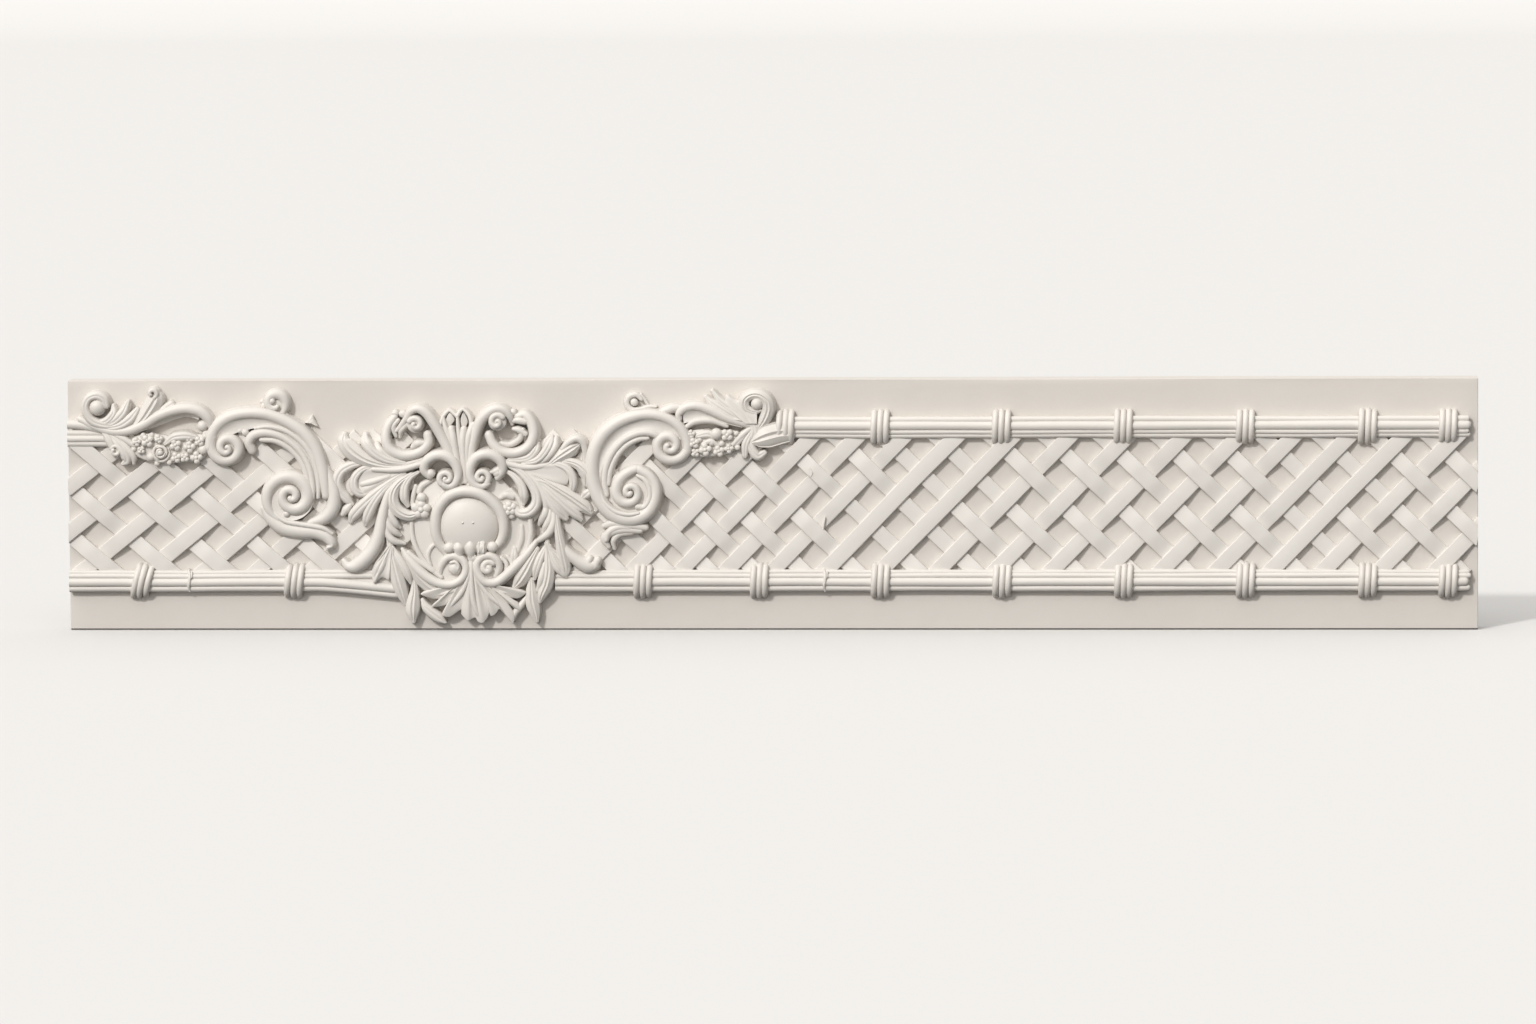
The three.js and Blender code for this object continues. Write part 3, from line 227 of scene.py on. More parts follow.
def winding(column, row, turns):
    """Spiral band given by angle, radius, half width and height: a curve through those, turned into stations."""
    line = smooth_line(turns, 8)
    angle = np.radians(line[:, 0])
    return strand(np.column_stack([column + np.cos(angle) * line[:, 1], row - np.sin(angle) * line[:, 1],
                                   line[:, 2], line[:, 3]]), per=1)
def plate(outline, high, round_over=1.6):
    """Flat plate: a closed curve through the outline, with its edge rounded over."""
    p = np.asarray(outline, float)
    per = 5
    ring = smooth_line(np.vstack([p[-2:], p, p[:2]]), per)[2 * per:(2 + len(p)) * per]
    step = np.roll(ring, -1, 0) - np.roll(ring, 1, 0)
    step /= np.linalg.norm(step, axis=1)[:, None]
    area = np.sum(ring[:, 0] * np.roll(ring[:, 1], -1) - np.roll(ring[:, 0], -1) * ring[:, 1])
    inward = np.column_stack([-step[:, 1], step[:, 0]]) * (1 if area > 0 else -1)
    rings = []
    for inset, level in ((0, 0), (0, high - round_over), (0.3 * round_over, high - 0.4 * round_over),
                         (round_over, high)):
        spot = ring + inward * inset
        rings.append(np.stack([across(spot[:, 0]), np.full(len(spot), FACE - level * SQUARE), up(spot[:, 1])], -1))
    return skin(np.array(rings))


# Materials

class Wire:
    """A socket that adds maths nodes when it is used in a sum, difference, product or power."""

    def __init__(self, tree, socket):
        self.tree, self.socket = tree, socket

    def _with(self, operation, first, second):
        made = self.tree.nodes.new("ShaderNodeMath")
        made.operation = operation
        for slot, value in zip(made.inputs, (first, second)):
            if isinstance(value, Wire):
                self.tree.links.new(value.socket, slot)
            else:
                slot.default_value = value
        return Wire(self.tree, made.outputs[0])

    def __add__(self, other): return self._with("ADD", self, other)
    def __radd__(self, other): return self._with("ADD", other, self)
    def __sub__(self, other): return self._with("SUBTRACT", self, other)
    def __rsub__(self, other): return self._with("SUBTRACT", other, self)
    def __mul__(self, other): return self._with("MULTIPLY", self, other)
    def __rmul__(self, other): return self._with("MULTIPLY", other, self)
    def __pow__(self, other): return self._with("POWER", self, other)
    def at_least(self, other): return self._with("MAXIMUM", self, other)


class Finish:
    """A material or world and the one way its nodes are added: type, settings, then values or links of its
    sockets."""

    def __init__(self, owner, surface):
        owner.use_nodes = True
        self.owner, self.tree = owner, owner.node_tree
        self.surface = self.tree.nodes[surface]

    def _fill(self, made, inputs):
        for key, value in inputs.items():
            if isinstance(value, Wire):
                self.tree.links.new(value.socket, made.inputs[key])
            else:
                made.inputs[key].default_value = value

    def node(self, kind, settings=None, inputs=None, output=0):
        made = self.tree.nodes.new(kind)
        for key, value in (settings or {}).items():
            setattr(made, key, value)
        self._fill(made, inputs or {})
        return Wire(self.tree, made.outputs[output])

    def feed(self, inputs):
        self._fill(self.surface, inputs)


def plaster(name, light, shade, roughness, grain):
    """Pale plaster: two creams drift in soft clouds, a fine sandy grain roughens it, and slight hand-worked
    unevenness tilts its face."""
    finish = Finish(bpy.data.materials.new(name), "Principled BSDF")
    place = finish.node("ShaderNodeTexCoord", output="Object")
    drift, fleck, sand, wave = [
        finish.node("ShaderNodeTexNoise", {"noise_dimensions": "3D"},
                    {"Vector": place, "Scale": scale, "Detail": detail, "Roughness": rough})
        for scale, detail, rough in ((9.0, 5.0, 0.55), (160.0, 4.0, 0.6), (900.0, 3.0, 0.6), (42.0, 3.0, 0.5))]
    share = (drift - 0.5) * 1.6 + (fleck - 0.5) * 0.5 + 0.6
    tint = finish.node("ShaderNodeMix", {"data_type": "RGBA"}, {6: (*shade, 1.0), 7: (*light, 1.0), 0: share}, 2)
    coarse = finish.node("ShaderNodeBump", inputs={"Strength": 0.35, "Distance": 0.0012, "Height": wave})
    fine = finish.node("ShaderNodeBump", inputs={"Strength": grain, "Distance": 0.00025, "Height": sand,
                                                 "Normal": coarse})
    finish.feed({"Base Color": tint, "Roughness": roughness + (fleck - 0.5) * 0.12, "Normal": fine,
                 "Specular IOR Level": 0.42})
    return finish.owner


# All three are the same plaster. The slats get a lighter cream than the board as painted light, so they stand
# brighter than the ground between them, and that darker ground is painted shade. The cast ornament is also a lighter
# cream than the board.
BOARD_PLASTER = plaster("board_plaster", (0.69, 0.655, 0.615), (0.66, 0.622, 0.58), 0.58, 0.22)
SLAT_PLASTER_PAINTED_LIGHT = plaster("slat_plaster", (0.742, 0.713, 0.677), (0.712, 0.68, 0.642), 0.5, 0.2)
CAST_PLASTER = plaster("cast_plaster", (0.74, 0.71, 0.672), (0.7, 0.667, 0.625), 0.46, 0.25)


def place_in_scene(name, data):
    """An object of this mesh, light or camera, linked into the scene."""
    made = bpy.data.objects.new(name, data)
    bpy.context.scene.collection.objects.link(made)
    return made


def piece(name, shells, node, finish, sharp=42):
    """Joins closed shells into one mesh, turns their faces outwards and lets it stand for its solid."""
    points, faces, start = [], [], 0
    for shell in shells:
        for spots, groups in (shell if isinstance(shell, list) else [shell]):
            points.append(spots)
            for group in groups:
                faces += (group + start).tolist()
            start += len(spots)
    mesh = bpy.data.meshes.new(name)
    mesh.from_pydata(np.vstack(points).tolist(), [], faces)
    turned = bmesh.new()
    turned.from_mesh(mesh)
    bmesh.ops.remove_doubles(turned, verts=turned.verts, dist=1e-8)
    bmesh.ops.recalc_face_normals(turned, faces=turned.faces)
    turned.to_mesh(mesh)
    turned.free()
    mesh.shade_smooth()
    mesh.set_sharp_from_angle(angle=math.radians(sharp))
    mesh.materials.append(finish)
    made = place_in_scene(name, mesh)
    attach(made, "root")
    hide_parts(node)
    return made


# Woven slats
SLAT_WIDE = 11.4 * MM
SLAT_UNDER = 2.9 * MM
SLAT_OVER = 4.8 * MM
LATTICE_FOOT = 42.2 * MM
LATTICE_HEAD = 137.4 * MM
LATTICE_OPEN = 139.0 * MM
TUCK = 3.8 * MM
MIDDLE_UP = 88.8 * MM
SLAT_POINTS = 74
# The part of the way between two crossings, at each end of it, in which a slat stays level
SLAT_LEVEL = 0.2
THIN_END = 0.05 * MM
# Ends in one plane would shade each other black, so each sits a hair further in
APART = 0.03 * MM
RISING_AT = (-517, -476, -432.6, -388.2, -349.9, -312.7, -275.5, -238.2, -201, -163.8, -126.5, -89.3, -52.1, -18, 14,
             47.4, 85, 124, 165, 205.5, 244.8, 284, 322.4, 361.5, 400, 437.4, 476.8, 516)
FALLING_AT = (-524, -482.4, -440.8, -397.9, -361.4, -318, -275, -231.6, -155.5, -121.7, -90.3, -58.5, -24.4, 13.3,
    57.3,
              97.8, 131.1, 169.1, 207.3, 246.6, 285.5, 325.4, 362.6, 399.3, 439.2, 476.5, 516)


def lean_at(at, left, right):
    """Lean of a slat: one value on the right, and from -150 mm on it goes evenly to another over 350 mm."""
    share = min(max((-150 - at) / 350, 0), 1)
    return right + (left - right) * share


RISING = [(at * MM, lean_at(at, 1.3, 0.985)) for at in RISING_AT]
FALLING = [(at * MM, -lean_at(at, 1.19, 1.03)) for at in FALLING_AT]
SLAT_ACROSS = np.array([-1, -1, -0.91, -0.87, 0, 0.87, 0.91, 1, 1])
SLAT_FALL = np.array([9, 0.5, 0.04, 0.0, -0.03, 0.0, 0.04, 0.5, 9]) * MM
# Rising slats that float over several falling ones: the climbs between which they stay on top, in mm
LONG_OVER = {16: (-38.2, 25.8), 17: (-41.8, 25.8), 23: (-9.8, 30), 24: (-50, 50)}


def on_top(rising, falling, climb):
    """True where the rising slat lies over the falling one: at every second crossing, and all along its float."""
    low, high = LONG_OVER.get(rising, (0, 0))
    return (rising + falling) % 2 == 1 or low * MM < climb < high * MM


def slat(index, line, others, rises, left, right, seed):
    """Flat slat with eased arrises: its line leans along the board as it climbs, and its height steps between over
    and under by a smooth cubic of the share between one crossing and the next."""
    at, lean = line
    meets = []
    for other, (other_at, other_lean) in enumerate(others):
        climb = (other_at - at) / (lean - other_lean)
        over = on_top(index, other, climb) if rises else not on_top(other, index, climb)
        meets.append((climb, SLAT_OVER if over else SLAT_UNDER))
    climbs, levels = np.array(sorted(meets)).T
    rng = np.random.default_rng(seed)
    # The ends tuck in under the rails, and a little lower where no upper rail runs
    low, high = LATTICE_FOOT - TUCK - MIDDLE_UP, LATTICE_HEAD + TUCK - MIDDLE_UP
    if across(100) < at + lean * (high + 4 * MM) < across(770):
        high = LATTICE_OPEN - MIDDLE_UP
    long = math.hypot(1, lean)
    run = np.linspace(low, high, SLAT_POINTS)
    k = np.clip(np.searchsorted(climbs, run) - 1, 0, len(climbs) - 2)
    share = (run - climbs[k]) / (climbs[k + 1] - climbs[k])
    share = np.clip((share - SLAT_LEVEL) / (1 - 2 * SLAT_LEVEL), 0, 1)
    level = levels[k] + (levels[k + 1] - levels[k]) * share ** 2 * (3 - 2 * share)
    drift = rng.normal(0, 0.22 * MM) + rng.normal(0, 0.12 * MM) * np.sin(run * 60 + rng.uniform(0, 6))
    wide = SLAT_WIDE / 2 * (1 + rng.normal(0, 0.015))
    offset = SLAT_ACROSS[None, :] * wide
    x = at + lean * run[:, None] + (offset + drift[:, None]) / long
    z = MIDDLE_UP + run[:, None] - (offset + drift[:, None]) * lean / long
    tilt = rng.normal(0, 0.1 * MM)
    y = FACE - np.maximum(level[:, None] - SLAT_FALL[None, :] + tilt * SLAT_ACROSS[None, :], 0)
    x = np.clip(x, left, right)
    keep = (x.max(1) - x.min(1)) > THIN_END
    return [skin(np.stack([x, y, z], -1)[keep])] if keep.sum() >= 3 else []


def slats(left, right, seed):
    """The slats of both directions between two ends."""
    shells = []
    for index, line in enumerate(RISING):
        shells += slat(index, line, FALLING, True, left, right, seed + index)
    for index, line in enumerate(FALLING):
        shells += slat(index, line, RISING, False, left + APART, right - APART, seed + 100 + index)
    return shells


end_left, end_right = board_low.x + THIN_END, board_high.x - THIN_END
SLAT_CHIPS = [strand(line, per=4) for line in (
    [(824, 518, 0.5, 7.1), (822.6, 524, 1.1, 7.4), (822, 530, 0.6, 7.1)],
    [(808.4, 469, 0.8, 7.2), (811, 473.4, 1.4, 7.6), (810, 477, 0.8, 7.2)])]
piece("woven_slats_left", slats(end_left, across(414), 10), "basketweave_lattice_left", SLAT_PLASTER_PAINTED_LIGHT, 30)
piece("woven_slats_right", slats(across(524), end_right, 10) + SLAT_CHIPS, "basketweave_lattice_right",
      SLAT_PLASTER_PAINTED_LIGHT, 30)


# Reed rails: each reed is up, out and radius in millimetres from the rail's own middle
REED_STEP = 4 * MM
REED_AROUND = np.linspace(0, 2 * np.pi, 14, endpoint=False)


def reed(x0, x1, height_up, out, radius, seed, rounded, fray):
    """Rod along the board: a circle swept along X whose middle wanders by two slow sines. A rounded one closes by a
    quarter round on the right."""
    rng = np.random.default_rng(seed)
    x = np.linspace(x0, x1, max(8, int((x1 - x0) / REED_STEP)))
    wander = (0.16 * MM * np.sin(x * rng.uniform(18, 30) + rng.uniform(0, 6))
              + 0.08 * MM * np.sin(x * rng.uniform(60, 90)))
    size = radius * (1 + 0.03 * np.sin(x * rng.uniform(25, 50) + rng.uniform(0, 6)))
    z = height_up + wander
    if fray is not None:
        z = z + fray(x)
    if rounded:
        x = np.concatenate([x, x1 + radius * np.sin(END_TURNS[::-1]) * 0.8])
        size = np.concatenate([size, size[-1] * np.cos(END_TURNS[::-1])])
        z = np.concatenate([z, np.full(3, z[-1])])
    a = REED_AROUND
    ring = np.stack([x[:, None] + 0 * a, FACE - out + size[:, None] * np.cos(a),
                     z[:, None] + size[:, None] * np.sin(a)], -1)
    ring[..., 1] = np.minimum(ring[..., 1], FACE)
    return skin(ring)


CORD_ARC = np.radians(np.linspace(-100, 100, 26))
CORD_AROUND = np.linspace(0, 2 * np.pi, 12, endpoint=False)[None, :, None]
CORD_RADIUS = 2.25 * MM
CORD_PITCH = 4.35 * MM


def tie(x, height_up, tilt, seed):
    """Three turns of cord over the reeds: a circle swept over half an ellipse from below the rail to above it."""
    rng = np.random.default_rng(seed)
    shells = []
    a, b = CORD_ARC, CORD_AROUND
    for turn_at in (-1, 0, 1):
        tall = (10.3 + rng.uniform(-0.3, 0.5) + (0.5 if turn_at == 0 else 0)) * MM
        proud = (8.3 + rng.uniform(-0.2, 0.2)) * MM
        z = height_up + tall * np.sin(a)
        y = FACE - np.maximum(proud * np.cos(a), -1 * MM)
        middle = x + turn_at * CORD_PITCH + tilt * np.sin(a) + rng.uniform(-0.2, 0.2) * MM
        path = np.stack([middle, y, z], -1)
        along = np.gradient(path, axis=0)
        along /= np.linalg.norm(along, axis=1)[:, None]
        side = np.cross(along, np.array([1.0, 0, 0]))
        side /= np.linalg.norm(side, axis=1)[:, None]
        other = np.cross(along, side)
        ring = path[:, None] + CORD_RADIUS * (np.cos(b) * side[:, None] + np.sin(b) * other[:, None])
        ring[..., 1] = np.minimum(ring[..., 1], FACE)
        shells.append(skin(ring))
    return shells


def ties(places, height_up, tilt, seed, less=0):
    """A tie at each place, each tilted a little less than the one before where that is asked."""
    return [tie(x, height_up, tilt - n * less, seed + n) for n, x in enumerate(places)]


BED_OUT = 5.2 * MM
BED_ARC = np.radians(np.linspace(-90, 90, 9))


def core(x0, x1, height_up, wide):
    """Half-round bed under the reeds, as an ellipse's half swept along X."""
    x, a = np.array([x0, x1])[:, None], BED_ARC
    return skin(np.stack([x + 0 * a, FACE - BED_OUT * np.cos(a) + 0 * x, height_up + wide * np.sin(a) + 0 * x], -1))


LOWER_UP = 35.4 * MM
UPPER_UP = 144.0 * MM
BED_WIDE = 7.2 * MM
RAIL_STOP = board_high.x - 4.6 * MM
TIE_FIRST, TIE_LAST = -7.5 * MM, 479 * MM
TIE_PITCH = 86.0 * MM
lower_ties_left = (-447.6 * MM, -338.8 * MM)
lower_ties_right = [TIE_FIRST - TIE_PITCH * 0.96] + [TIE_FIRST + TIE_PITCH * i for i in range(6)] + [TIE_LAST]
upper_ties_right = [TIE_FIRST + TIE_PITCH * 0.22] + [TIE_FIRST + TIE_PITCH * i for i in range(1, 6)] + [TIE_LAST]
LOWER_REEDS = ((6.0, 3.9, 1.9), (3.5, 4.8, 2.1), (-0.8, 4.3, 3.6), (-5.2, 3.9, 2.5))
UPPER_REEDS = ((5.6, 4.0, 2.3), (1.1, 4.3, 3.7), (-3.0, 4.8, 2.0), (-5.6, 3.9, 2.0))
STUB_REEDS = ((3.2, 3.4, 2.6), (-0.6, 4.0, 2.9), (-4.2, 3.4, 2.4))
# How far in millimetres each reed of a rounded rail stops short
REED_SHORT = (0.9, 0.0, 1.4, 0.6)


def rail(x0, x1, height_up, reeds, wide, seed, rounded, fray=None):
    """Bed and reeds. A rounded rail's reeds stop unevenly, and the reeds from the third on may fray."""
    shells = [core(x0 + 2 * APART, x1 - 2 * MM, height_up, wide)]
    for n, (rise, out, radius) in enumerate(reeds):
        stop = x1 - (REED_SHORT[n] * MM if rounded else 0) - (radius * MM * 0.8 if rounded else 0)
        shells.append(reed(x0 + (n + 3) * APART, stop, height_up + rise * MM, out * MM, radius * MM, seed + n,
                           rounded, fray if n >= 2 else None))
    return shells


def spread(x):
    """The lower left reeds fray downwards as they near the cartouche, by the share of the way to the power 1.2."""
    return -4.6 * MM * np.clip((x - across(318)) / (across(392) - across(318)), 0, 1) ** 1.2


def joint(column, row):
    """Raised seam round the reeds: a thin bead across the rail, with a chip beside it."""
    return [strand([(column - 1, row - 11, 1.2, 9), (column + 0.4, row - 6, 1.5, 11.6), (column, row, 1.5, 12.2),
                    (column - 0.8, row + 5, 1.4, 11.4), (column, row + 10, 1.2, 9)]),
            strand([(column + 2.4, row - 9, 0.9, 9.6), (column + 2, row - 4, 1.1, 11.4)], per=3)]


piece("lower_reeds_left",
      rail(end_left, across(396), LOWER_UP, LOWER_REEDS, BED_WIDE, 21, False, spread)
      + ties(lower_ties_left, LOWER_UP, 2.6 * MM, 31, 1.4 * MM) + joint(188, 581.3),
      "lower_reed_rail_left", CAST_PLASTER)
piece("lower_reeds_right",
      rail(across(554), RAIL_STOP, LOWER_UP, LOWER_REEDS, BED_WIDE, 22, True)
      + ties(lower_ties_right, LOWER_UP, 0.5 * MM, 41) + joint(823.5, 581.3),
      "lower_reed_rail_right", CAST_PLASTER)
piece("upper_reeds_left", rail(end_left, across(107), up(437.5), STUB_REEDS, 6.2 * MM, 23, False),
      "upper_reed_rail_left", CAST_PLASTER)
piece("upper_reeds_right",
      rail(TIE_FIRST + TIE_PITCH * 0.15, RAIL_STOP, UPPER_UP, UPPER_REEDS, BED_WIDE, 24, True)
      + ties(upper_ties_right, UPPER_UP, 0.4 * MM, 61),
      "upper_reed_rail_right", CAST_PLASTER)

# Central cartouche
field_plate = plate([
    (446, 480), (432, 478), (421, 483), (417, 494), (412, 506), (410, 521), (411, 536), (415, 550), (422, 562),
    (432, 571), (446, 582), (470, 587), (500, 581), (514, 571), (522, 561), (530, 549), (532, 536), (531, 518),
    (522, 511), (518, 499), (509, 487), (497, 478), (470, 480)], 9.6)
frame_ring = strand([
    (446, 553, 4, 13), (438, 541, 5, 16), (435.5, 526, 5.5, 18), (438, 510, 5.6, 19), (447, 497.5, 5.6, 20),
    (458, 492, 5.6, 20.5), (470, 491, 5.7, 21), (483, 494.5, 5.7, 21), (495.5, 504.5, 5.6, 20), (502.5, 516, 5.4, 19),
    (504, 530, 5.1, 18), (500.5, 541, 4.6, 16.5), (494, 548, 3.6, 15)])
dome = oval(469, 524.5, 30.5, 30.5, 9.6, 20.5, power=2.2)
berries = [knob(449.4, 547.6, 5.6, 19.4), strand([(458.4, 541, 3.4, 17.6), (458.8, 547.4, 5.6, 20),
    (459.4, 554, 4, 18)]),
           strand([(470.4, 538.6, 2.6, 18.4), (470.6, 545.4, 5.8, 20.6), (470.8, 551.4, 5.4, 20), (471, 556, 3, 18)]),
           strand([(482, 541.4, 4.8, 18.2), (481.8, 547.4, 6, 20), (481.2, 553.6, 4.4, 18)]),
           knob(464.6, 541.6, 2.6, 18),
           strand([(479.4, 542.6, 1.2, 19.6), (479.4, 551.4, 1.2, 20)]),
           strand([(484.4, 542.6, 1.2, 19.6), (483.8, 551.4, 1.2, 20)]),
           knob(492.6, 546.6, 5.6, 19.2), knob(472.4, 557.6, 5, 17.6), knob(463.6, 522, 1.3, 21.3, 1),
           knob(473.8, 522, 1.3, 21.3, 1)]

upper_left_volute = [strand([
    (430, 476, 3.4, 16.5), (424.8, 469.5, 4.6, 18), (427, 461.4, 5, 19.5), (434.5, 455.8, 5.2, 20.5),
    (443.5, 454.8, 5.2, 21),
    (452, 458.8, 5, 21), (457.4, 466.4, 4.6, 20.5), (459, 475, 4.2, 20), (456, 482.6, 3.9, 19.5), (450, 486, 3.6, 19),
    (443.6, 484, 3.2, 19)]),
    winding(447, 478, [(232, 7.2, 3.1, 19), (150, 6.4, 3, 19.5), (60, 5.2, 2.8, 20), (-30, 3.8, 2.6, 20.5),
        (-120, 2, 2.3, 20.5), (-180, 0.8, 2, 20.5)]),
    knob(447, 478, 8, 15, 0.2), knob(431.4, 473.2, 4.6, 17.5)]
upper_right_volute = [strand([
    (498.5, 477, 3.6, 17), (503.2, 469.5, 4.6, 18.5), (501.6, 461, 5, 20), (494.5, 455.2, 5.3, 21),
    (485.5, 454, 5.3, 21.5),
    (476.8, 457.8, 5.1, 21), (471.8, 466, 4.8, 20.5), (471, 475.5, 4.4, 20), (475, 483.4, 4, 19.5),
    (482, 486, 3.6, 19), (488.4, 483.4, 3.2, 19)]),
    winding(482.5, 477, [(-50, 7.2, 3.1, 19), (30, 6.6, 3, 19.5), (120, 5.2, 2.8, 20), (210, 3.8, 2.6, 20.5),
        (300, 2, 2.3, 20.5), (350, 0.8, 2, 20.5)]),
    knob(482.5, 477, 8, 15, 0.2), knob(498, 472.6, 4.8, 18),
    strand([(501.5, 468, 3, 17), (496, 471, 3.2, 18), (491.6, 472, 1.5, 16)])]
lower_left_volute = [strand([
    (402, 549, 2, 13), (409, 559, 4, 15.5), (418, 569.5, 5, 17), (429, 578.5, 5, 17.5), (441, 583.6, 4.5, 18),
    (453, 583.6, 4.2, 18.4), (462.2, 577.8, 4.1, 18.6), (466, 568.4, 4, 18.6), (462.6, 559.8, 4, 18.4),
    (454, 555.8, 3.9, 18), (446, 558.6, 3.6, 17),
    (441, 566, 3.4, 15.5), (439.5, 573.5, 2.6, 13.5)]),
    knob(454.6, 568, 6.8, 18, 0.7, 28), knob(450, 570, 13, 12.5, 0.2, 32),
    strand([(451, 562, 1.6, 17.8), (455.6, 561.5, 1.8, 18.4), (458.6, 566, 1.6, 18.2), (456.4, 571, 1.2, 17.4)]),
    strand([(408, 552, 2, 13), (420, 562, 2.4, 14), (433, 571, 2.4, 14)])]
lower_right_volute = [strand([
    (536, 541.5, 2.4, 14), (528, 552.5, 4.2, 16), (517.5, 564, 5, 17), (507, 574, 5, 17.5), (496, 582, 4.7, 18),
    (484.8, 581.4, 4.5, 18.4), (478, 573, 4.2, 18.6), (476.8, 563.4, 4, 18.6), (482, 556.8, 4, 18.4),
    (490.6, 555.6, 4, 18.2), (497.4, 560.6, 3.8, 17.6),
    (499, 568.6, 3.4, 16.6), (495.4, 575.5, 2.6, 15)]),
    winding(487.8, 567.4, [(40, 6.6, 3, 17.4), (130, 5, 3.4, 18), (220, 4, 3.4, 18.4), (310, 2.6, 3.2, 18.6),
        (380, 1, 2.8, 18.6)]),
    knob(488.5, 568, 10.5, 13.5, 0.2, 30),
    strand([(501, 557.5, 2, 13.5), (506, 563.5, 2.4, 14), (505.5, 571.5, 2, 13.5)]),
    strand([(507, 556, 1.8, 13), (511, 562.5, 2.2, 13.5), (510.5, 569, 1.8, 13)])]

crest = [strand(line) for line in (
    [(441.5, 424, 1.6, 14), (443.4, 418, 1.9, 13), (447, 413, 1.9, 12), (450.6, 410.8, 1.6, 11.5),
     (455, 413.8, 1.9, 12.5), (458, 416.5, 2, 13.5)],
    [(458, 416.5, 2, 13.5), (461, 411.6, 1.8, 12.5), (464.2, 409.8, 1.6, 11.5), (468.6, 413.6, 1.9, 12.5),
     (471.2, 419, 1.9, 13.5), (472, 426, 2, 14)],
    [(444, 418, 2, 13), (447, 430, 2.7, 14.5), (452, 447, 2.9, 15), (457, 465, 2.5, 15), (461, 483, 1.8, 14)],
    [(452.2, 428.5, 3.3, 15.5), (454.5, 440, 3.6, 17.5), (458.5, 460, 2.8, 17), (462.5, 482, 1.8, 15)],
    [(458.4, 418, 1.6, 13.5), (459.4, 432, 2.1, 15), (461.5, 450, 2.1, 15.5), (464, 482, 1.6, 14.5)],
    [(464.6, 429, 3.3, 15.5), (463.6, 442, 3.2, 17.5), (464.8, 462, 2.5, 17), (465.5, 482, 1.6, 15)],
    [(473.5, 425, 3.3, 15.5), (470, 437, 3.6, 17.5), (467.4, 458, 2.7, 16.5), (466.8, 482, 1.8, 15)],
    [(479, 429, 2.6, 15), (474.5, 444, 2.7, 15.5), (469.8, 464, 2.3, 15), (468, 482, 1.8, 14)])]
crest += [plate([(446.5, 420), (450.5, 412.8), (455.5, 419.5), (451, 426), (448, 426)], 10.5, 1),
          plate([(461.4, 419), (464.4, 412.5), (468.6, 421), (466, 427), (462, 426)], 10.5, 1)]
stems = [strand(line) for line in (
    [(460, 486, 2.8, 14), (456.6, 468, 3.8, 16), (450, 451, 4.8, 17.5), (442.6, 436.5, 5.3, 18), (435, 423, 5.3, 19),
     (427.6, 413, 5, 19), (419.5, 408.8, 4.2, 18.5), (412, 411.5, 3.6, 17.5), (407.4, 418.5, 3, 16),
     (402, 426, 3, 13.5), (397, 431, 2, 12)],
    [(469, 486, 2.8, 14), (470.8, 466, 3.6, 16), (472.6, 449, 4.3, 17.5), (476.6, 433, 4.9, 18),
     (482, 420.5, 5.2, 19),
     (490, 412, 5, 19), (499, 408.8, 4.3, 18.5), (507, 411.6, 3.9, 17.5), (511.4, 418, 3.2, 15.5),
     (513, 424, 2, 12)])]
bowls = [strand(line) for line in (
    [(395.5, 417, 3.4, 12.5), (388.6, 427, 4.4, 14), (386.6, 439, 5, 16), (391, 449.5, 5.4, 17), (402, 455, 5.4, 17),
     (414, 454.4, 5, 17), (424, 449.6, 4.8, 17.5), (429.4, 442, 4.8, 17), (428.6, 434.6, 4.6, 16)],
    [(518.5, 417, 3.6, 13.5), (526, 415.5, 4.6, 14.5), (532.6, 424, 5.2, 16), (534.4, 436, 5.2, 17),
     (528.6, 447.5, 5.3, 17.5),
     (516, 453.2, 5.1, 17.5), (503, 451.4, 4.9, 17.5), (494, 443.6, 4.9, 17), (490, 435, 4.8, 16)],
    [(523.5, 430, 2.6, 14), (520, 439, 3, 13), (511, 444.5, 3.2, 12.5), (502.5, 443.5, 2.6, 12.5)])]
bowl_trims = [
    winding(416.5, 424, [(150, 6.4, 3, 18), (60, 5.8, 2.9, 18.6), (-30, 4.6, 2.8, 19), (-120, 3, 2.6, 19.4),
        (-200, 1.2, 2.2, 19.6)]), knob(416.5, 424, 8.6, 16, 0.3),
    winding(498.5, 421.5, [(40, 7, 3, 19), (130, 6.4, 2.9, 19.6), (220, 5, 2.8, 20), (310, 3.2, 2.6, 20.4),
        (400, 1.2, 2.2, 20.6)]), knob(498.5, 421.5, 9.2, 17, 0.3),
    strand([(424, 443, 2.8, 16), (418.5, 443.5, 4.2, 16.6), (413.4, 447, 2.4, 14)]), knob(396, 413.6, 3.8, 12),
    knob(403.5, 414, 4, 12.5), knob(514, 412.5, 3.6, 12),
    strand([(408, 424, 3, 14), (402, 430.5, 2.8, 13), (400.5, 437, 1.6, 10)]),
    strand([(399, 420, 2, 12), (394, 427, 3, 12.5), (396.5, 436, 2, 11)]),
    strand([(513.5, 421, 2, 13.5), (519.5, 420.5, 3.6, 15), (526, 422, 3, 15)]),
    strand([(514.5, 429, 2.2, 13.5), (520, 430, 3.4, 14.5), (526, 434, 2.8, 14)]),
    knob(499.5, 445, 3, 14)]

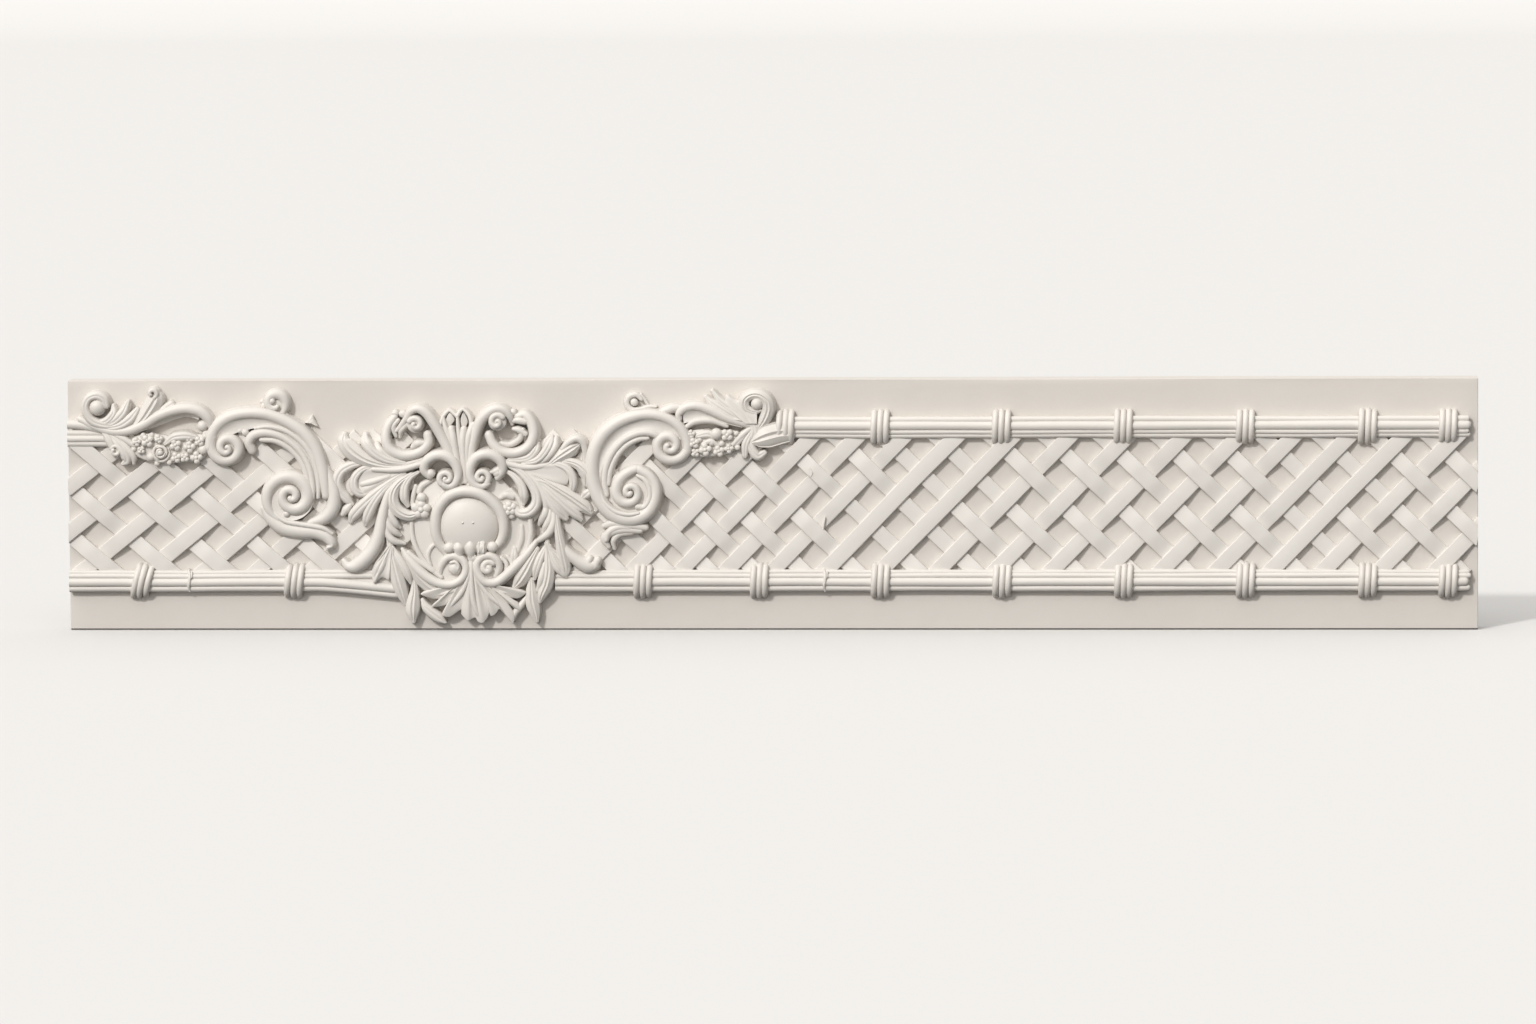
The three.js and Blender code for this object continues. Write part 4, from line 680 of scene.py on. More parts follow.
LEFT_SPRAYS = (
    [(425, 459, 2.4, 14), (405, 465, 3, 15), (385, 465, 4.6, 16), (366, 459.5, 6.4, 17), (352, 450, 8, 17),
     (345, 441, 6.4, 15), (345, 435, 3, 11)],
    [(405, 463, 2.4, 15), (388, 460, 3.6, 17), (375, 452.5, 4.6, 18), (367, 442.5, 5, 17), (366, 435, 2.8, 13)],
    [(400, 461, 2.4, 15), (388, 457, 3.4, 16), (380, 450, 3.8, 16), (377.5, 444, 2.6, 13)],
    [(374, 469, 2.2, 16), (390, 469.6, 2.6, 17), (405, 468.6, 2.8, 18), (422, 463.5, 2.6, 17)],
    [(374, 466, 2.2, 14), (362.5, 469.5, 3, 15), (355, 478, 3.8, 16), (355, 488, 4, 16), (360.5, 493.5, 3.6, 15),
     (368, 492, 2, 12)],
    [(363, 484, 3, 14), (375, 481, 3.4, 15.5), (390, 476, 2.6, 15)],
    [(362, 463, 2.4, 13), (351, 465.5, 4, 14), (341.5, 471.5, 4.6, 15), (337.5, 481.5, 5, 15), (340.5, 491.5, 5, 14),
     (347, 499, 4.4, 13), (351.5, 504, 2.4, 11)],
    [(405, 473, 2.2, 15), (388, 484, 3.2, 16), (374, 495, 4.2, 16.5), (362, 506, 5.2, 16), (353.5, 515, 5, 14),
     (350.5, 521, 2.6, 11)],
    [(398, 477, 2.2, 15), (384, 489.5, 3.4, 16.5), (375, 501, 4.2, 17), (369, 512, 4.8, 16), (366, 520, 3.6, 14),
     (365, 524.5, 1.8, 11)],
    [(412, 474, 2.2, 15), (401.5, 481, 3.6, 17), (394.5, 490, 5, 18), (393, 501, 5.8, 18.5), (398.5, 510.5, 5.6, 18),
     (409, 515.5, 4.8, 17), (418, 513.5, 3.6, 15)],
    [(419, 472, 1.6, 14), (411, 477, 2.8, 16), (405.5, 486, 3.8, 17), (404.5, 497, 4, 17), (408, 505.5, 2, 14)],
    [(389, 506, 2.2, 15), (391.5, 516, 3.2, 16), (396, 523.5, 3.2, 15), (400, 527.5, 1.5, 12)],
    [(386, 515, 2.2, 15), (389.5, 526, 3.4, 16.5), (396, 532.5, 3, 15), (400.5, 535.5, 1.5, 12)],
    [(385, 521, 2.2, 15), (387.5, 533, 3.2, 16), (393.5, 540.5, 3.4, 16), (404.5, 543.5, 1.5, 12)],
    [(386.5, 520, 1.8, 13), (388.5, 537, 2.4, 14), (391, 552, 3.6, 15), (394.5, 568, 5.6, 16), (398.5, 584, 6.6, 16),
     (402, 596, 4.8, 14), (404.5, 604.5, 1.6, 11)],
    [(389, 546, 1.8, 13), (385, 556, 3.8, 15), (379, 567, 5.4, 16), (375.5, 576, 3.6, 14), (374.2, 582, 1.6, 11)],
    [(392, 547, 1.8, 14), (398, 557, 3.4, 16), (404, 567.5, 4.2, 16.5), (408, 576.5, 3.4, 15), (410, 583, 1.5, 12)],
    [(413.5, 581, 2, 11.5), (413.5, 592, 4.2, 13), (412, 603, 6.6, 14), (411.5, 613, 6, 13.5), (412.5, 622, 2, 10.5)],
    [(421.5, 600, 2, 10.5), (425.5, 608, 4.4, 12), (433, 614.6, 5.2, 12), (439.5, 619.4, 4.2, 11),
     (444, 622.6, 1.6, 9.5)],
    [(404, 552, 3, 13), (410.6, 563, 6, 15), (419.4, 575, 7.8, 15.6), (429.4, 585, 7.2, 15.4), (438, 590.6, 4, 14)],
    [(411.5, 522, 2, 12), (412, 535, 2.3, 12.5), (415.5, 547, 2.3, 13), (422.5, 559.5, 2.3, 13),
     (432, 570, 2.3, 13.5), (441, 577, 2, 14)],
    [(440, 541, 1.6, 11.5), (431, 547, 2, 12), (427.5, 556, 2, 12), (430, 566, 1.8, 12)],
    [(416, 486, 2, 12), (413.6, 495, 2.2, 12.5), (412, 505, 1.8, 12)],
    [(432, 480, 2, 12), (422.5, 485.5, 3.2, 13), (419, 492, 2.4, 13)])
RIGHT_SPRAYS = (
    [(489, 450, 2.2, 14), (500, 459, 2.8, 16), (514, 465, 2.8, 17), (530, 467.4, 2.8, 17), (548, 465, 2.6, 15)],
    [(510, 459.5, 2.4, 14.5), (522, 459.6, 3.4, 15.5), (530.5, 457, 3.8, 16), (536.5, 450, 3.8, 16),
     (538, 443.5, 2.4, 13)],
    [(524, 463, 2.4, 15), (537, 460.5, 3.2, 17), (545.5, 452.5, 3.8, 17.5), (550.5, 443.5, 4, 16.5),
     (552.5, 437, 2, 12.5)],
    [(535, 465, 2.2, 14), (547, 458.5, 3, 16), (555, 448.5, 3.6, 16.5), (557, 438.5, 2.4, 13)],
    [(549, 465.5, 2.2, 14), (557, 459, 4.4, 16), (565, 453.5, 6.6, 16.6), (573, 448.5, 6.4, 16.4),
     (577.5, 446, 3.6, 14)],
    [(563, 449, 2.2, 15), (570, 442, 3, 16.6), (577.5, 438.6, 3.4, 17), (583.6, 443, 3, 16), (585.5, 452.5, 2.6, 14),
     (585, 462, 2, 12)],
    [(548, 464, 2, 14), (560, 464.6, 3, 15.5), (569, 469.8, 3.6, 16.5), (573.5, 479, 3.8, 16.5), (573, 488, 3.4, 15),
     (571.5, 493, 1.8, 12)],
    [(557, 461.4, 2.4, 13), (570, 461.8, 3.6, 15), (580.4, 466.4, 4.8, 16), (586.6, 474.6, 6, 16.4),
     (586.6, 484, 3.6, 14)],
    [(592, 490, 3, 14), (586.4, 494.5, 4.4, 14.5), (583.6, 497, 3, 13)],
    [(525, 470, 2.2, 15), (542, 479, 3.2, 16), (557, 488, 4.4, 16.5), (571, 497, 5.6, 16), (584, 506.5, 6.4, 14.5),
     (590.5, 512.5, 3, 11.5)],
    [(530, 475, 2.2, 15), (545, 486.5, 3.2, 16.5), (557, 497.5, 4.4, 17), (568, 507.5, 5, 16), (577, 515, 4.6, 14),
     (581, 520, 2, 11.5)],
    [(528, 475, 2.2, 15), (541, 488.5, 3.2, 17), (550, 501, 4.2, 17.5), (558, 511.5, 4.8, 16.5),
     (565.5, 518, 3.4, 13)],
    [(508, 464.5, 2.2, 15), (520, 471, 3.2, 17), (530, 481, 4.2, 18), (536.5, 493, 4.6, 18.5),
     (536.5, 504, 4.8, 18.5), (529.5, 512, 4.8, 18), (520, 513, 4.2, 16.5), (514, 507, 3.2, 15)],
    [(514, 466, 2.2, 14), (530, 475.5, 3, 16), (540.5, 487, 3.4, 17), (545.8, 500, 3.6, 17), (546.5, 510, 2.8, 15.5)],
    [(507, 471, 1.8, 14), (515.5, 476.8, 3.2, 16), (522, 486, 4.2, 17), (524, 496, 4, 17), (523.5, 503.5, 1.8, 13)],
    [(547, 503, 2.2, 15), (545.5, 513, 3.6, 16.5), (541.5, 520, 3, 14.5), (539, 524.5, 1.6, 11.5)],
    [(551, 508, 2.2, 15), (549.5, 519, 3.2, 16), (545, 527, 2.6, 14.5), (542.5, 532.5, 1.4, 11.5)],
    [(553.5, 506, 2.2, 15), (554, 521, 3.2, 17), (549.5, 532, 3.6, 17), (541.5, 538.4, 2.8, 15),
     (536, 541.5, 1.8, 12.5)],
    [(556, 508, 2.2, 15), (557.5, 525, 3.2, 17), (560, 541, 4.2, 17.5), (562.5, 555, 5.6, 17), (565, 567.5, 5, 15),
     (565.5, 576.5, 1.8, 11.5)],
    [(547, 540, 2, 13), (548, 556, 3.6, 15), (548.5, 570, 5.4, 16), (546, 584, 6, 16), (541.5, 594.5, 4.6, 14.5),
     (539, 602, 1.8, 11)],
    [(545.5, 546, 1.8, 12.5), (540, 558, 3.8, 15), (536, 569.5, 4.2, 15), (533.8, 579, 1.6, 11.5)],
    [(544, 564, 2, 14), (541, 578.5, 3.2, 15.5), (537, 590.5, 1.8, 12)],
    [(530.5, 579, 2, 11.5), (530.5, 591, 5, 13.5), (531.5, 603, 6.4, 14), (534, 612.5, 5.2, 13),
     (536, 621.5, 1.6, 10.5)],
    [(549.5, 546, 2, 14), (552.5, 559, 3.6, 15), (557.5, 568.5, 3.8, 14.5), (563, 575.5, 1.8, 12)],
    [(537, 549, 2.4, 13.5), (531, 560, 5, 15.5), (525.5, 570.5, 7, 16), (519.5, 580, 6.6, 15),
     (513.5, 587.5, 2.4, 11)],
    [(530, 520, 2.4, 13), (530.6, 534, 2.7, 13.5), (527.5, 547, 2.7, 13), (521, 557, 2.2, 12.5)],
    [(521.6, 526, 2, 11.5), (521, 539, 3.2, 12.5), (517, 551, 2.6, 12)],
    [(514.4, 548, 2.2, 13), (513.8, 556, 3.8, 14.5), (512.6, 565, 2.4, 13)],
    [(511, 490, 2, 12), (519, 500, 2.4, 12.5), (524, 512, 2, 12)])


def leaves(lines, wider):
    """Narrow blades are plain rounds, middling ones carry a vein, and the widest two ribs."""
    made = []
    for line in lines:
        line = [(column, row, half * wider, high) for column, row, half, high in line]
        widest = max(station[2] for station in line)
        made.append(strand(line, RIBBED if widest > 6 else VEINED if widest > 4.1 else ROUND, 5))
    return made


palmette = [
    leaf([(462, 583), (466, 575), (469.4, 561), (471.4, 556), (473.4, 561), (476.6, 575), (481, 583)],
         [(454, 587), (430, 589), (420, 594), (432, 598.5), (438.5, 599), (433, 603), (431.5, 606.5), (438, 606.5),
          (448, 604.5),
          (443.5, 608.5), (441.5, 615), (449, 616.5), (460, 609.5), (460.5, 614), (467, 620), (471, 618.5),
          (474.5, 617.5),
          (477, 621.5), (482, 622.5), (486, 618), (489, 611.5), (489.5, 615.5), (493, 615), (496, 612), (498.5, 609),
          (503, 613.5),
          (511.5, 623), (513.5, 614), (508, 603.5), (514, 608.5), (519.5, 610), (517, 602), (509, 598.5), (518, 598),
          (525, 592.5), (515, 588), (489, 585.5)], 15.8, 13, 1.0, 4),
    *[strand(line) for line in (
        [(470.4, 560, 1.6, 16.5), (468.6, 575, 2.2, 17), (462, 591, 2.6, 16.4), (453, 602, 2.4, 15),
         (446.6, 610, 1.4, 13)],
        [(471.6, 560, 1.8, 17), (471.4, 580, 2.4, 17.4), (472.6, 598, 2.8, 16.6), (476, 611, 2.6, 14.8),
         (479.6, 618, 1.4, 12.6)],
        [(473, 562, 1.6, 16.5), (477.4, 578, 2.2, 16.8), (487, 593.5, 2.6, 16), (499, 604, 2.6, 14.6),
         (508, 614, 1.6, 12.8)],
        [(463, 585, 1.6, 14.6), (450, 591.4, 2.2, 14.8), (436, 594.6, 2, 13.4)],
        [(481, 584, 1.6, 14.6), (495, 590.6, 2.2, 14.8), (511, 592.8, 2, 13.4)])],
    strand([(525.5, 597, 1.8, 10.5), (520.5, 605, 3.2, 12), (514.5, 613, 3.2, 12), (511.5, 621.5, 1.6, 9.5)])]
broad = [strand(line) for line in (
    [(398, 480, 2.4, 15), (389.5, 492, 3.6, 17), (385, 506, 4.6, 18), (382, 520, 5.6, 18.6), (379, 535, 6.4, 18.8),
     (373.6, 548, 7, 18.4),
     (365, 558.6, 7.6, 17.6), (355.6, 565.6, 7.4, 16), (347.6, 566, 5, 14), (343, 560.5, 2.6, 12)],
    [(561, 543, 3, 15), (569, 553.6, 4.8, 16), (578.4, 561.6, 6.4, 16), (588, 566, 7.8, 15.6), (594, 565.4, 6, 14.6)],
    [(586, 567, 3.4, 15), (589, 559.5, 4.4, 15)], [(594, 567, 3.4, 14.6), (597, 560.6, 4.2, 14.4)])]
broad += [
    leaf([(526, 475), (533, 483), (539, 493)], [(545, 477), (570, 488.5), (591.5, 509.5), (579, 511.5), (583, 520),
        (572, 514), (563.5, 519), (556, 508), (545, 497)], 16, 13.6, 0.8),
    leaf([(518, 466), (523, 471), (528, 475)], [(545, 463), (560, 464.5), (569, 472), (566.5, 484.5), (553, 482),
        (540, 479)], 15.5, 14, 0.4),
    leaf([(544, 542), (549, 544)], [(548, 556), (552, 568), (563, 576.5), (569.5, 571), (568.5, 560), (560, 556),
        (553, 549)], 14.5, 13.4, 0.8),
    leaf([(389, 545), (393, 547)], [(384, 553), (373, 567), (371.5, 574), (373.5, 583), (382, 577), (388.5, 579.5),
        (391.5, 568), (394, 556)], 15, 13.6, 0.8),
    leaf([(388, 466), (404, 470), (396, 478)], [(372, 463), (358, 470), (353, 484), (357, 494), (366, 496),
        (378, 492)], 14.5, 12.6, 0.6)]

trims = [
    knob(422, 497.5, 5.2, 16.5), *flower(421.5, 509.5, 9.4, 17.5, 5, 0.3), knob(415.5, 507, 4.4, 16.5),
    strand([(350, 505, 2.6, 12), (346, 509.5, 4.4, 13), (342.6, 514, 2.6, 12)]),
    *flower(510, 508.5, 7.4, 17, 5, 0.5), strand([(501.5, 497.5, 2.4, 12.5), (506.5, 494.6, 3.8, 14),
        (513, 496.5, 3.4, 13.5)]), knob(511.5, 515.5, 4, 14.5),
    knob(586.5, 495, 5.4, 12.5)]
webs = [
    plate([(372, 464), (404, 468), (394, 480), (376, 494), (360, 494), (354, 484), (357, 472)], 9),
    plate([(512, 464), (545, 463), (562, 467), (573, 478), (571, 489), (553, 486), (530, 474)], 9.5),
    plate([(458, 586), (484, 585), (494, 597), (484, 604), (460, 603), (450, 596)], 11.5),
    plate([(398, 452), (424, 450), (428, 462), (404, 470), (388, 466), (380, 458)], 10),
    plate([(494, 448), (520, 452), (540, 455), (546, 466), (520, 468), (502, 462)], 10)]
piece("cartouche", [
    field_plate, frame_ring, dome, *berries, *upper_left_volute, *upper_right_volute, *lower_left_volute,
    *lower_right_volute, *crest, *stems, *bowls, *bowl_trims, *leaves(LEFT_SPRAYS, 1.1), *leaves(RIGHT_SPRAYS, 1.1),
    *palmette, *broad, *trims, *webs], "central_cartouche", CAST_PLASTER)

# C-scrolls
piece("c_scroll_left", [
    winding(227, 447.5, [(140, 18, 5, 15), (180, 15.7, 5.6, 15), (225, 13.6, 5.6, 15), (270, 12.7, 5.4, 15),
        (315, 12.3, 5.3, 15.2), (360, 12, 5.2, 15.5),
                         (440, 9.6, 4.8, 16), (500, 7.4, 4.2, 16.5), (560, 5.8, 3.6, 17), (630, 4.8, 3.2, 17),
                         (700, 3.2, 2.9, 17.3), (760, 1.2, 2.5, 17.5)]),
    knob(227, 447.5, 15, 11.5, 0.1, 32), dish(290, 496.5, 24, 9.5, 13),
    winding(290.5, 496.5, [(240, 26, 3.4, 13), (205, 25, 4.8, 14.5), (170, 23.2, 6, 15.5), (130, 21.2, 6.6, 16),
        (90, 19.8, 7, 16.5),
                           (45, 18.4, 7.2, 17), (0, 17.4, 7.2, 17), (-45, 15, 6.8, 17), (-90, 11.6, 5.8, 16.8),
                           (-140, 9, 4.9, 16.8),
                           (-200, 8, 4.6, 17), (-270, 7.4, 4.4, 17.4), (-340, 6, 4, 17.6), (-400, 3.8, 3.4, 17.6),
                           (-450, 1.4, 2.8, 17.4)]),
    ribbon([(213, 440, 13.5), (222, 427, 14), (238, 418, 14.5), (262, 417, 15), (286, 426, 15.5), (303, 441, 15.5),
            (314, 462, 15.5), (319, 490, 15)],
           [(226, 438, 11), (236, 433, 11), (246, 430, 11.6), (262, 427.5, 12.4), (284, 433, 13.4), (300, 447, 14),
            (309, 467, 14.4), (313, 492, 14.4)],
           [1.0, 0.9, 0.86, 0.86, 0.88, 0.95, 1.0]),
    strand([(209.8, 447, 5.6, 15), (212.2, 434.4, 6, 15.3), (219.2, 424, 6.2, 15.6), (230, 416.8, 6, 16),
            (243, 413.4, 5.6, 16.5),
            (257, 412.8, 5.6, 17), (272, 415.2, 5.8, 17), (289, 422.4, 6, 17), (304, 432.8, 6.3, 17),
            (315, 446.6, 6.4, 17),
            (321.4, 462.5, 6.2, 17), (325, 480, 5.8, 17), (326.5, 495, 4.6, 16)]),
    strand([(256, 428, 1.4, 13.4), (270, 426.4, 2.4, 15), (287, 430.6, 3, 15.6), (301.5, 440.6, 3.2, 15.8),
            (311, 453, 3.2, 15.8),
            (316.6, 468, 3, 15.8), (319, 484, 2.6, 15.6), (318.5, 497, 2, 14.6)]),
    strand([(252.4, 450, 4.6, 13), (249.4, 442, 5, 14.5), (254.6, 434.8, 5, 15), (267, 432.4, 4.6, 15.2),
            (282, 436.2, 4, 15),
            (295, 445, 3.5, 15), (304.6, 456.4, 3.2, 15), (310.6, 470, 3, 15.2), (313.4, 486, 2.8, 15.2),
            (313, 497, 2.2, 14.4)]),
    strand([(262, 439.4, 2.6, 13), (276, 440.6, 3, 13.6), (289, 447.4, 3, 13.6), (299.6, 458.4, 3, 13.6),
            (306, 472, 3, 13.8), (309, 486, 2.4, 13.6)]),
    strand([(264, 508, 4, 12), (270.6, 518.6, 6.4, 13.4), (283, 527.8, 7.6, 14.2), (299, 530.8, 7.8, 14.6),
            (314, 531.8, 7, 14.6),
            (325.5, 536, 6.2, 14.6), (331, 543.4, 4.8, 14), (327.5, 548.5, 2.8, 12)]),
    strand([(272, 511, 1.8, 12.5), (284, 520.4, 2.4, 14.4), (298, 523.6, 2.6, 15), (312, 525.6, 2.8, 15.4),
            (323, 528, 2.6, 15.2), (332, 533.5, 1.8, 13.6)]),
    strand([(326.6, 468, 3.4, 14), (331.4, 482, 5.6, 16), (334.4, 495, 6.6, 17), (332.4, 508.5, 7.2, 17),
            (324, 518, 6.6, 16), (310.5, 522.8, 3.8, 14)]),
    strand([(327.4, 540, 1.8, 14), (331.6, 545.2, 2, 14), (327.6, 547.4, 1.6, 13.6)]),
    leaf([(306, 423), (311, 423.5)], [(304, 424.5), (308, 419.5), (312.4, 415.4), (315, 420.5), (318.5, 427)], 6.4, 5,
         0.2),
    knob(246, 432, 3.8, 13.5), knob(240.5, 430.5, 2.6, 12), knob(286.5, 513.5, 3.4, 15)], "left_c_scroll",
    CAST_PLASTER)
piece("c_scroll_right", [
    knob(669, 446, 17, 11.5, 0.1, 32), knob(631, 493, 24, 12, 0.1, 40),
    winding(669, 446, [(-15, 18.4, 4.9, 15), (-60, 15.6, 5.2, 15.2), (-90, 14, 5.2, 15.4), (-135, 12.6, 5.1, 15.6),
        (-180, 11.3, 5, 15.8),
                       (-225, 10.4, 4.8, 16), (-270, 9.6, 4.6, 16.4), (-315, 8.6, 4.2, 16.8), (-360, 7.6, 3.9, 17),
                       (-405, 6.4, 3.6, 17.2),
                       (-450, 4.8, 3.3, 17.4), (-510, 2.6, 3, 17.6), (-560, 1, 2.6, 17.8)]),
    winding(630.5, 492, [(75, 23.5, 4.6, 16), (95, 19.6, 5.2, 16.8), (120, 16.8, 5.6, 17), (150, 15, 5.6, 17.2),
        (180, 14.2, 5.5, 17.4), (225, 12.8, 5.2, 17.6), (270, 10.6, 4.9, 17.8),
                         (315, 8.8, 4.4, 18), (360, 7.4, 3.9, 18.2), (405, 6.6, 3.6, 18.4), (450, 5.8, 3.4, 18.6),
                         (495, 5.2, 3.2, 18.7), (540, 4.2, 3.1, 18.8), (600, 2.6, 2.9, 19), (660, 1, 2.5, 19)]),
    strand([(637.4, 506.4, 3.2, 15.6), (644, 506.8, 3, 16), (649.4, 499.4, 2.8, 16.2), (649.6, 488.6, 2.7, 16.2),
            (645, 480, 2.5, 16), (637.5, 475.5, 1.6, 15)]),
    ribbon([(682, 440, 13), (675, 429, 13.6), (662, 421, 14.2), (648, 419.6, 14.4), (634, 421.6, 14.6),
            (620, 428.6, 14.8), (608.6, 439.6, 15), (600.6, 453.6, 15), (597.6, 468, 15), (599, 484, 15),
            (606, 500, 15)],
           [(664, 441, 12), (659, 434, 12.6), (650, 430.4, 13), (640, 430.6, 13.2), (628, 435, 13.4),
            (614.6, 446.6, 13.8), (606, 460, 14), (602, 472, 14), (601.6, 484, 14), (606, 497, 14), (612, 503, 14)],
           [1.0, 0.9, 0.87, 0.86, 0.88, 0.93, 1.0]),
    strand([(687, 452, 4.6, 15), (687.4, 443, 5.2, 15.2), (683.4, 432.6, 5.4, 15.6), (675.6, 423.8, 5.2, 16),
            (663, 417.2, 5, 16.5),
            (648, 415, 5.2, 17), (634, 417, 5.8, 17.2), (619, 422.8, 6.6, 17.5), (605.4, 433.4, 7.2, 17.5),
            (596.4, 447.4, 7.5, 17.5),
            (592.6, 463, 7.5, 17.5), (593.4, 481, 7.4, 17.5), (599, 497.6, 7.4, 17.5), (608.6, 511, 7.6, 17.5),
            (621.6, 518.4, 7.8, 17.5),
            (636, 518.8, 7.4, 17.2), (648, 512, 6.6, 17), (654.8, 500, 5.8, 16.8), (655.6, 486.8, 5.4, 16.6),
            (649.4, 476, 5.2, 16.4), (639, 469.6, 4.8, 16)]),
    strand([(600, 490, 1.6, 16), (605, 502, 2.2, 17.6), (615, 511, 2.4, 18), (628, 514.4, 2.2, 18),
            (639, 513, 1.6, 17)]),
    strand([(661.6, 442, 3, 12.6), (656.4, 435.4, 3.6, 14.4), (647.6, 432.8, 3.8, 15), (636, 434.4, 3.8, 15.2),
            (623.4, 441, 3.8, 15.2), (613, 452.5, 3.8, 15.2),
            (606.4, 467, 3.8, 15.2), (604.6, 482, 3.6, 15), (607, 495, 2.6, 14.6)]),
    strand([(648, 438.6, 2, 13.2), (638, 439.8, 2.6, 13.8), (626, 446.4, 2.8, 14), (616.4, 457.6, 2.8, 14),
            (610.4, 471, 2.8, 14), (608.4, 484, 2.4, 13.8)]),
    strand([(645, 528, 3.5, 13), (628, 525.5, 4.6, 14.5), (613, 523.5, 4.6, 14.5), (604, 526, 2.8, 12.5)]),
    strand([(640, 531, 3, 13), (624, 530, 4, 14.2), (611, 532.5, 4.6, 14.6), (604, 539, 4, 13.6),
            (608, 547, 2.4, 11.5)]),
    strand([(632, 533, 2.4, 12), (619, 534.5, 3.2, 13), (613, 541, 3, 12.6), (614, 549, 1.6, 10)]),
    strand([(630, 528, 3, 14), (618, 527.5, 3.8, 15), (609, 532, 3.6, 15.4), (606, 540, 2.6, 14.6)]),
    strand([(690, 412, 1.6, 9), (682, 408.6, 3, 11), (672, 409.4, 4.6, 13), (663.6, 412, 4, 12.6)])],
    "right_c_scroll", CAST_PLASTER)

# Sprays and their garlands: blooms are column, row, radius, height, petals and turn, and berries have no petals
LEFT_GARLAND = (
    (161, 452, 10.5, 17.5, 6, 0.2), (148, 440.5, 6.6, 16.5, 4, 0.6), (159.5, 438.5, 4.6, 15.5, 4, 0.3),
    (176.5, 457, 5.6, 15.5, 4, 0.4),
    (185, 457, 5, 15, 4, 0.9), (197, 457, 6.4, 16, 4, 0.1), (137, 441.5, 4.6, 15, 4, 0.2),
    (141.5, 449.5, 4.2, 15, 4, 0.9),
    (151, 456.5, 4.2, 14.5, 0, 0.2), (203.5, 449.5, 5, 15.5, 0, 0.7), (176, 444.5, 6.4, 15.5, 4, 0.5),
    (190, 446.5, 6.4, 15.5, 4, 0.1), (200, 441, 5.4, 15.5, 4, 0.6), (169.5, 440, 3.2, 14, 0, 0),
    (190, 437.5, 4.6, 15, 4, 0.8),
    (181, 438.5, 3, 13.5, 0, 0), (143.5, 435, 3, 14, 0, 0), (205.5, 436, 3.2, 14, 0, 0),
    (169.5, 462, 3, 12.5, 0, 0), (157, 463, 3, 12.5, 0, 0), (134, 448.5, 2.8, 13, 0, 0),
    (152, 434.5, 2.6, 12.5, 0, 0))
RIGHT_GARLAND = (
    (716.5, 434.5, 6, 16.5, 0, 0.3), (727.5, 435.5, 6.6, 16.5, 4, 0.8), (694.5, 443.5, 5.6, 15.5, 4, 0.5),
    (705.5, 450, 6.8, 16, 4, 0.2),
    (719, 451.5, 6, 15.5, 4, 0.4), (729, 449, 5, 15, 4, 0.1), (691.5, 434.5, 4.4, 14.5, 4, 0.2),
    (695.5, 453, 4.6, 14.5, 4, 0.7),
    (736.5, 434, 2.8, 14, 0, 0), (712, 443, 3.6, 14.5, 0, 0.5), (737.5, 448, 3, 13.5, 0, 0),
    (722, 444, 3.2, 14.5, 0, 0),
    (687.5, 441, 2.8, 12.5, 0, 0), (700, 440, 2.8, 13, 0, 0))


def garland(blooms):
    """A rose for six petals, a flower for fewer, and a berry for none."""
    shells = []
    for bloom in blooms:
        if bloom[4] == 6:
            shells += rose(*bloom[:4])
        elif bloom[4]:
            shells += flower(*bloom)
        else:
            shells.append(knob(*bloom[:4], 0.8, 16))
    return shells


LEFT_SPRAY = (
    [(120, 425, 3, 13), (104, 424.5, 4, 14), (91.5, 419.5, 4.2, 14.5), (85.4, 408, 3.8, 15), (88.5, 398.5, 3.6, 15),
     (97, 395, 3.8, 15), (104.5, 398.5, 4, 14.5), (106.5, 405, 3.4, 13.5)],
    [(92, 424, 3, 12), (106, 421, 3.8, 14), (113.5, 413, 3.6, 14), (113.5, 405, 1.8, 11)],
    [(96, 426, 3, 12), (112, 422.5, 4, 14), (123, 413, 4.6, 15), (128.5, 401, 1.8, 11.5)],
    [(100, 428, 3, 12), (118, 426, 4, 14.5), (130, 419, 5, 15), (137.5, 409.5, 2.4, 12)],
    [(132, 430, 3, 13), (142, 420.5, 6, 15), (150.5, 409, 8, 16), (156.5, 398.5, 7.4, 16), (156.5, 391.5, 3.4, 12)],
    [(152, 421, 2.4, 12), (161.5, 411.5, 4, 13), (171.5, 404.5, 3.8, 11.5)],
    [(104, 432, 2.4, 12), (109, 439, 4, 13.5), (112, 445.5, 3.4, 13.5)],
    [(110, 435, 2.4, 12), (118, 443, 4.2, 14), (124.5, 452, 5.2, 14.5), (126.5, 460, 4.4, 13), (122.5, 463.5, 2, 11)],
    [(112, 433.5, 2.2, 12), (124, 438.5, 3.2, 13), (134, 445, 2.6, 13)],
    [(116, 438, 2.2, 12), (125, 446, 3.4, 13.5), (133, 456, 3.2, 13.5), (133.5, 463, 1.6, 11)],
    [(166, 443, 2.2, 14), (174, 437, 4, 15), (186, 435.5, 4.4, 15.5), (196, 437, 2.6, 14)])
LEFT_STEMS = (
    [(64, 424, 4.4, 9.5), (84, 425.5, 4.4, 10), (102, 430, 3.6, 10.5)],
    [(80, 419, 3.6, 10), (94, 425.5, 4.2, 12), (110, 430.8, 4.6, 13.4), (127, 430.6, 5, 14.6),
     (143, 424.6, 5.4, 15.6), (158, 416, 5.4, 16),
     (173, 410.4, 5.4, 16.4), (188, 408.4, 5.4, 16.4), (201, 411.5, 5.4, 16), (209, 418.8, 4.6, 15),
     (211, 426, 3.4, 13)])
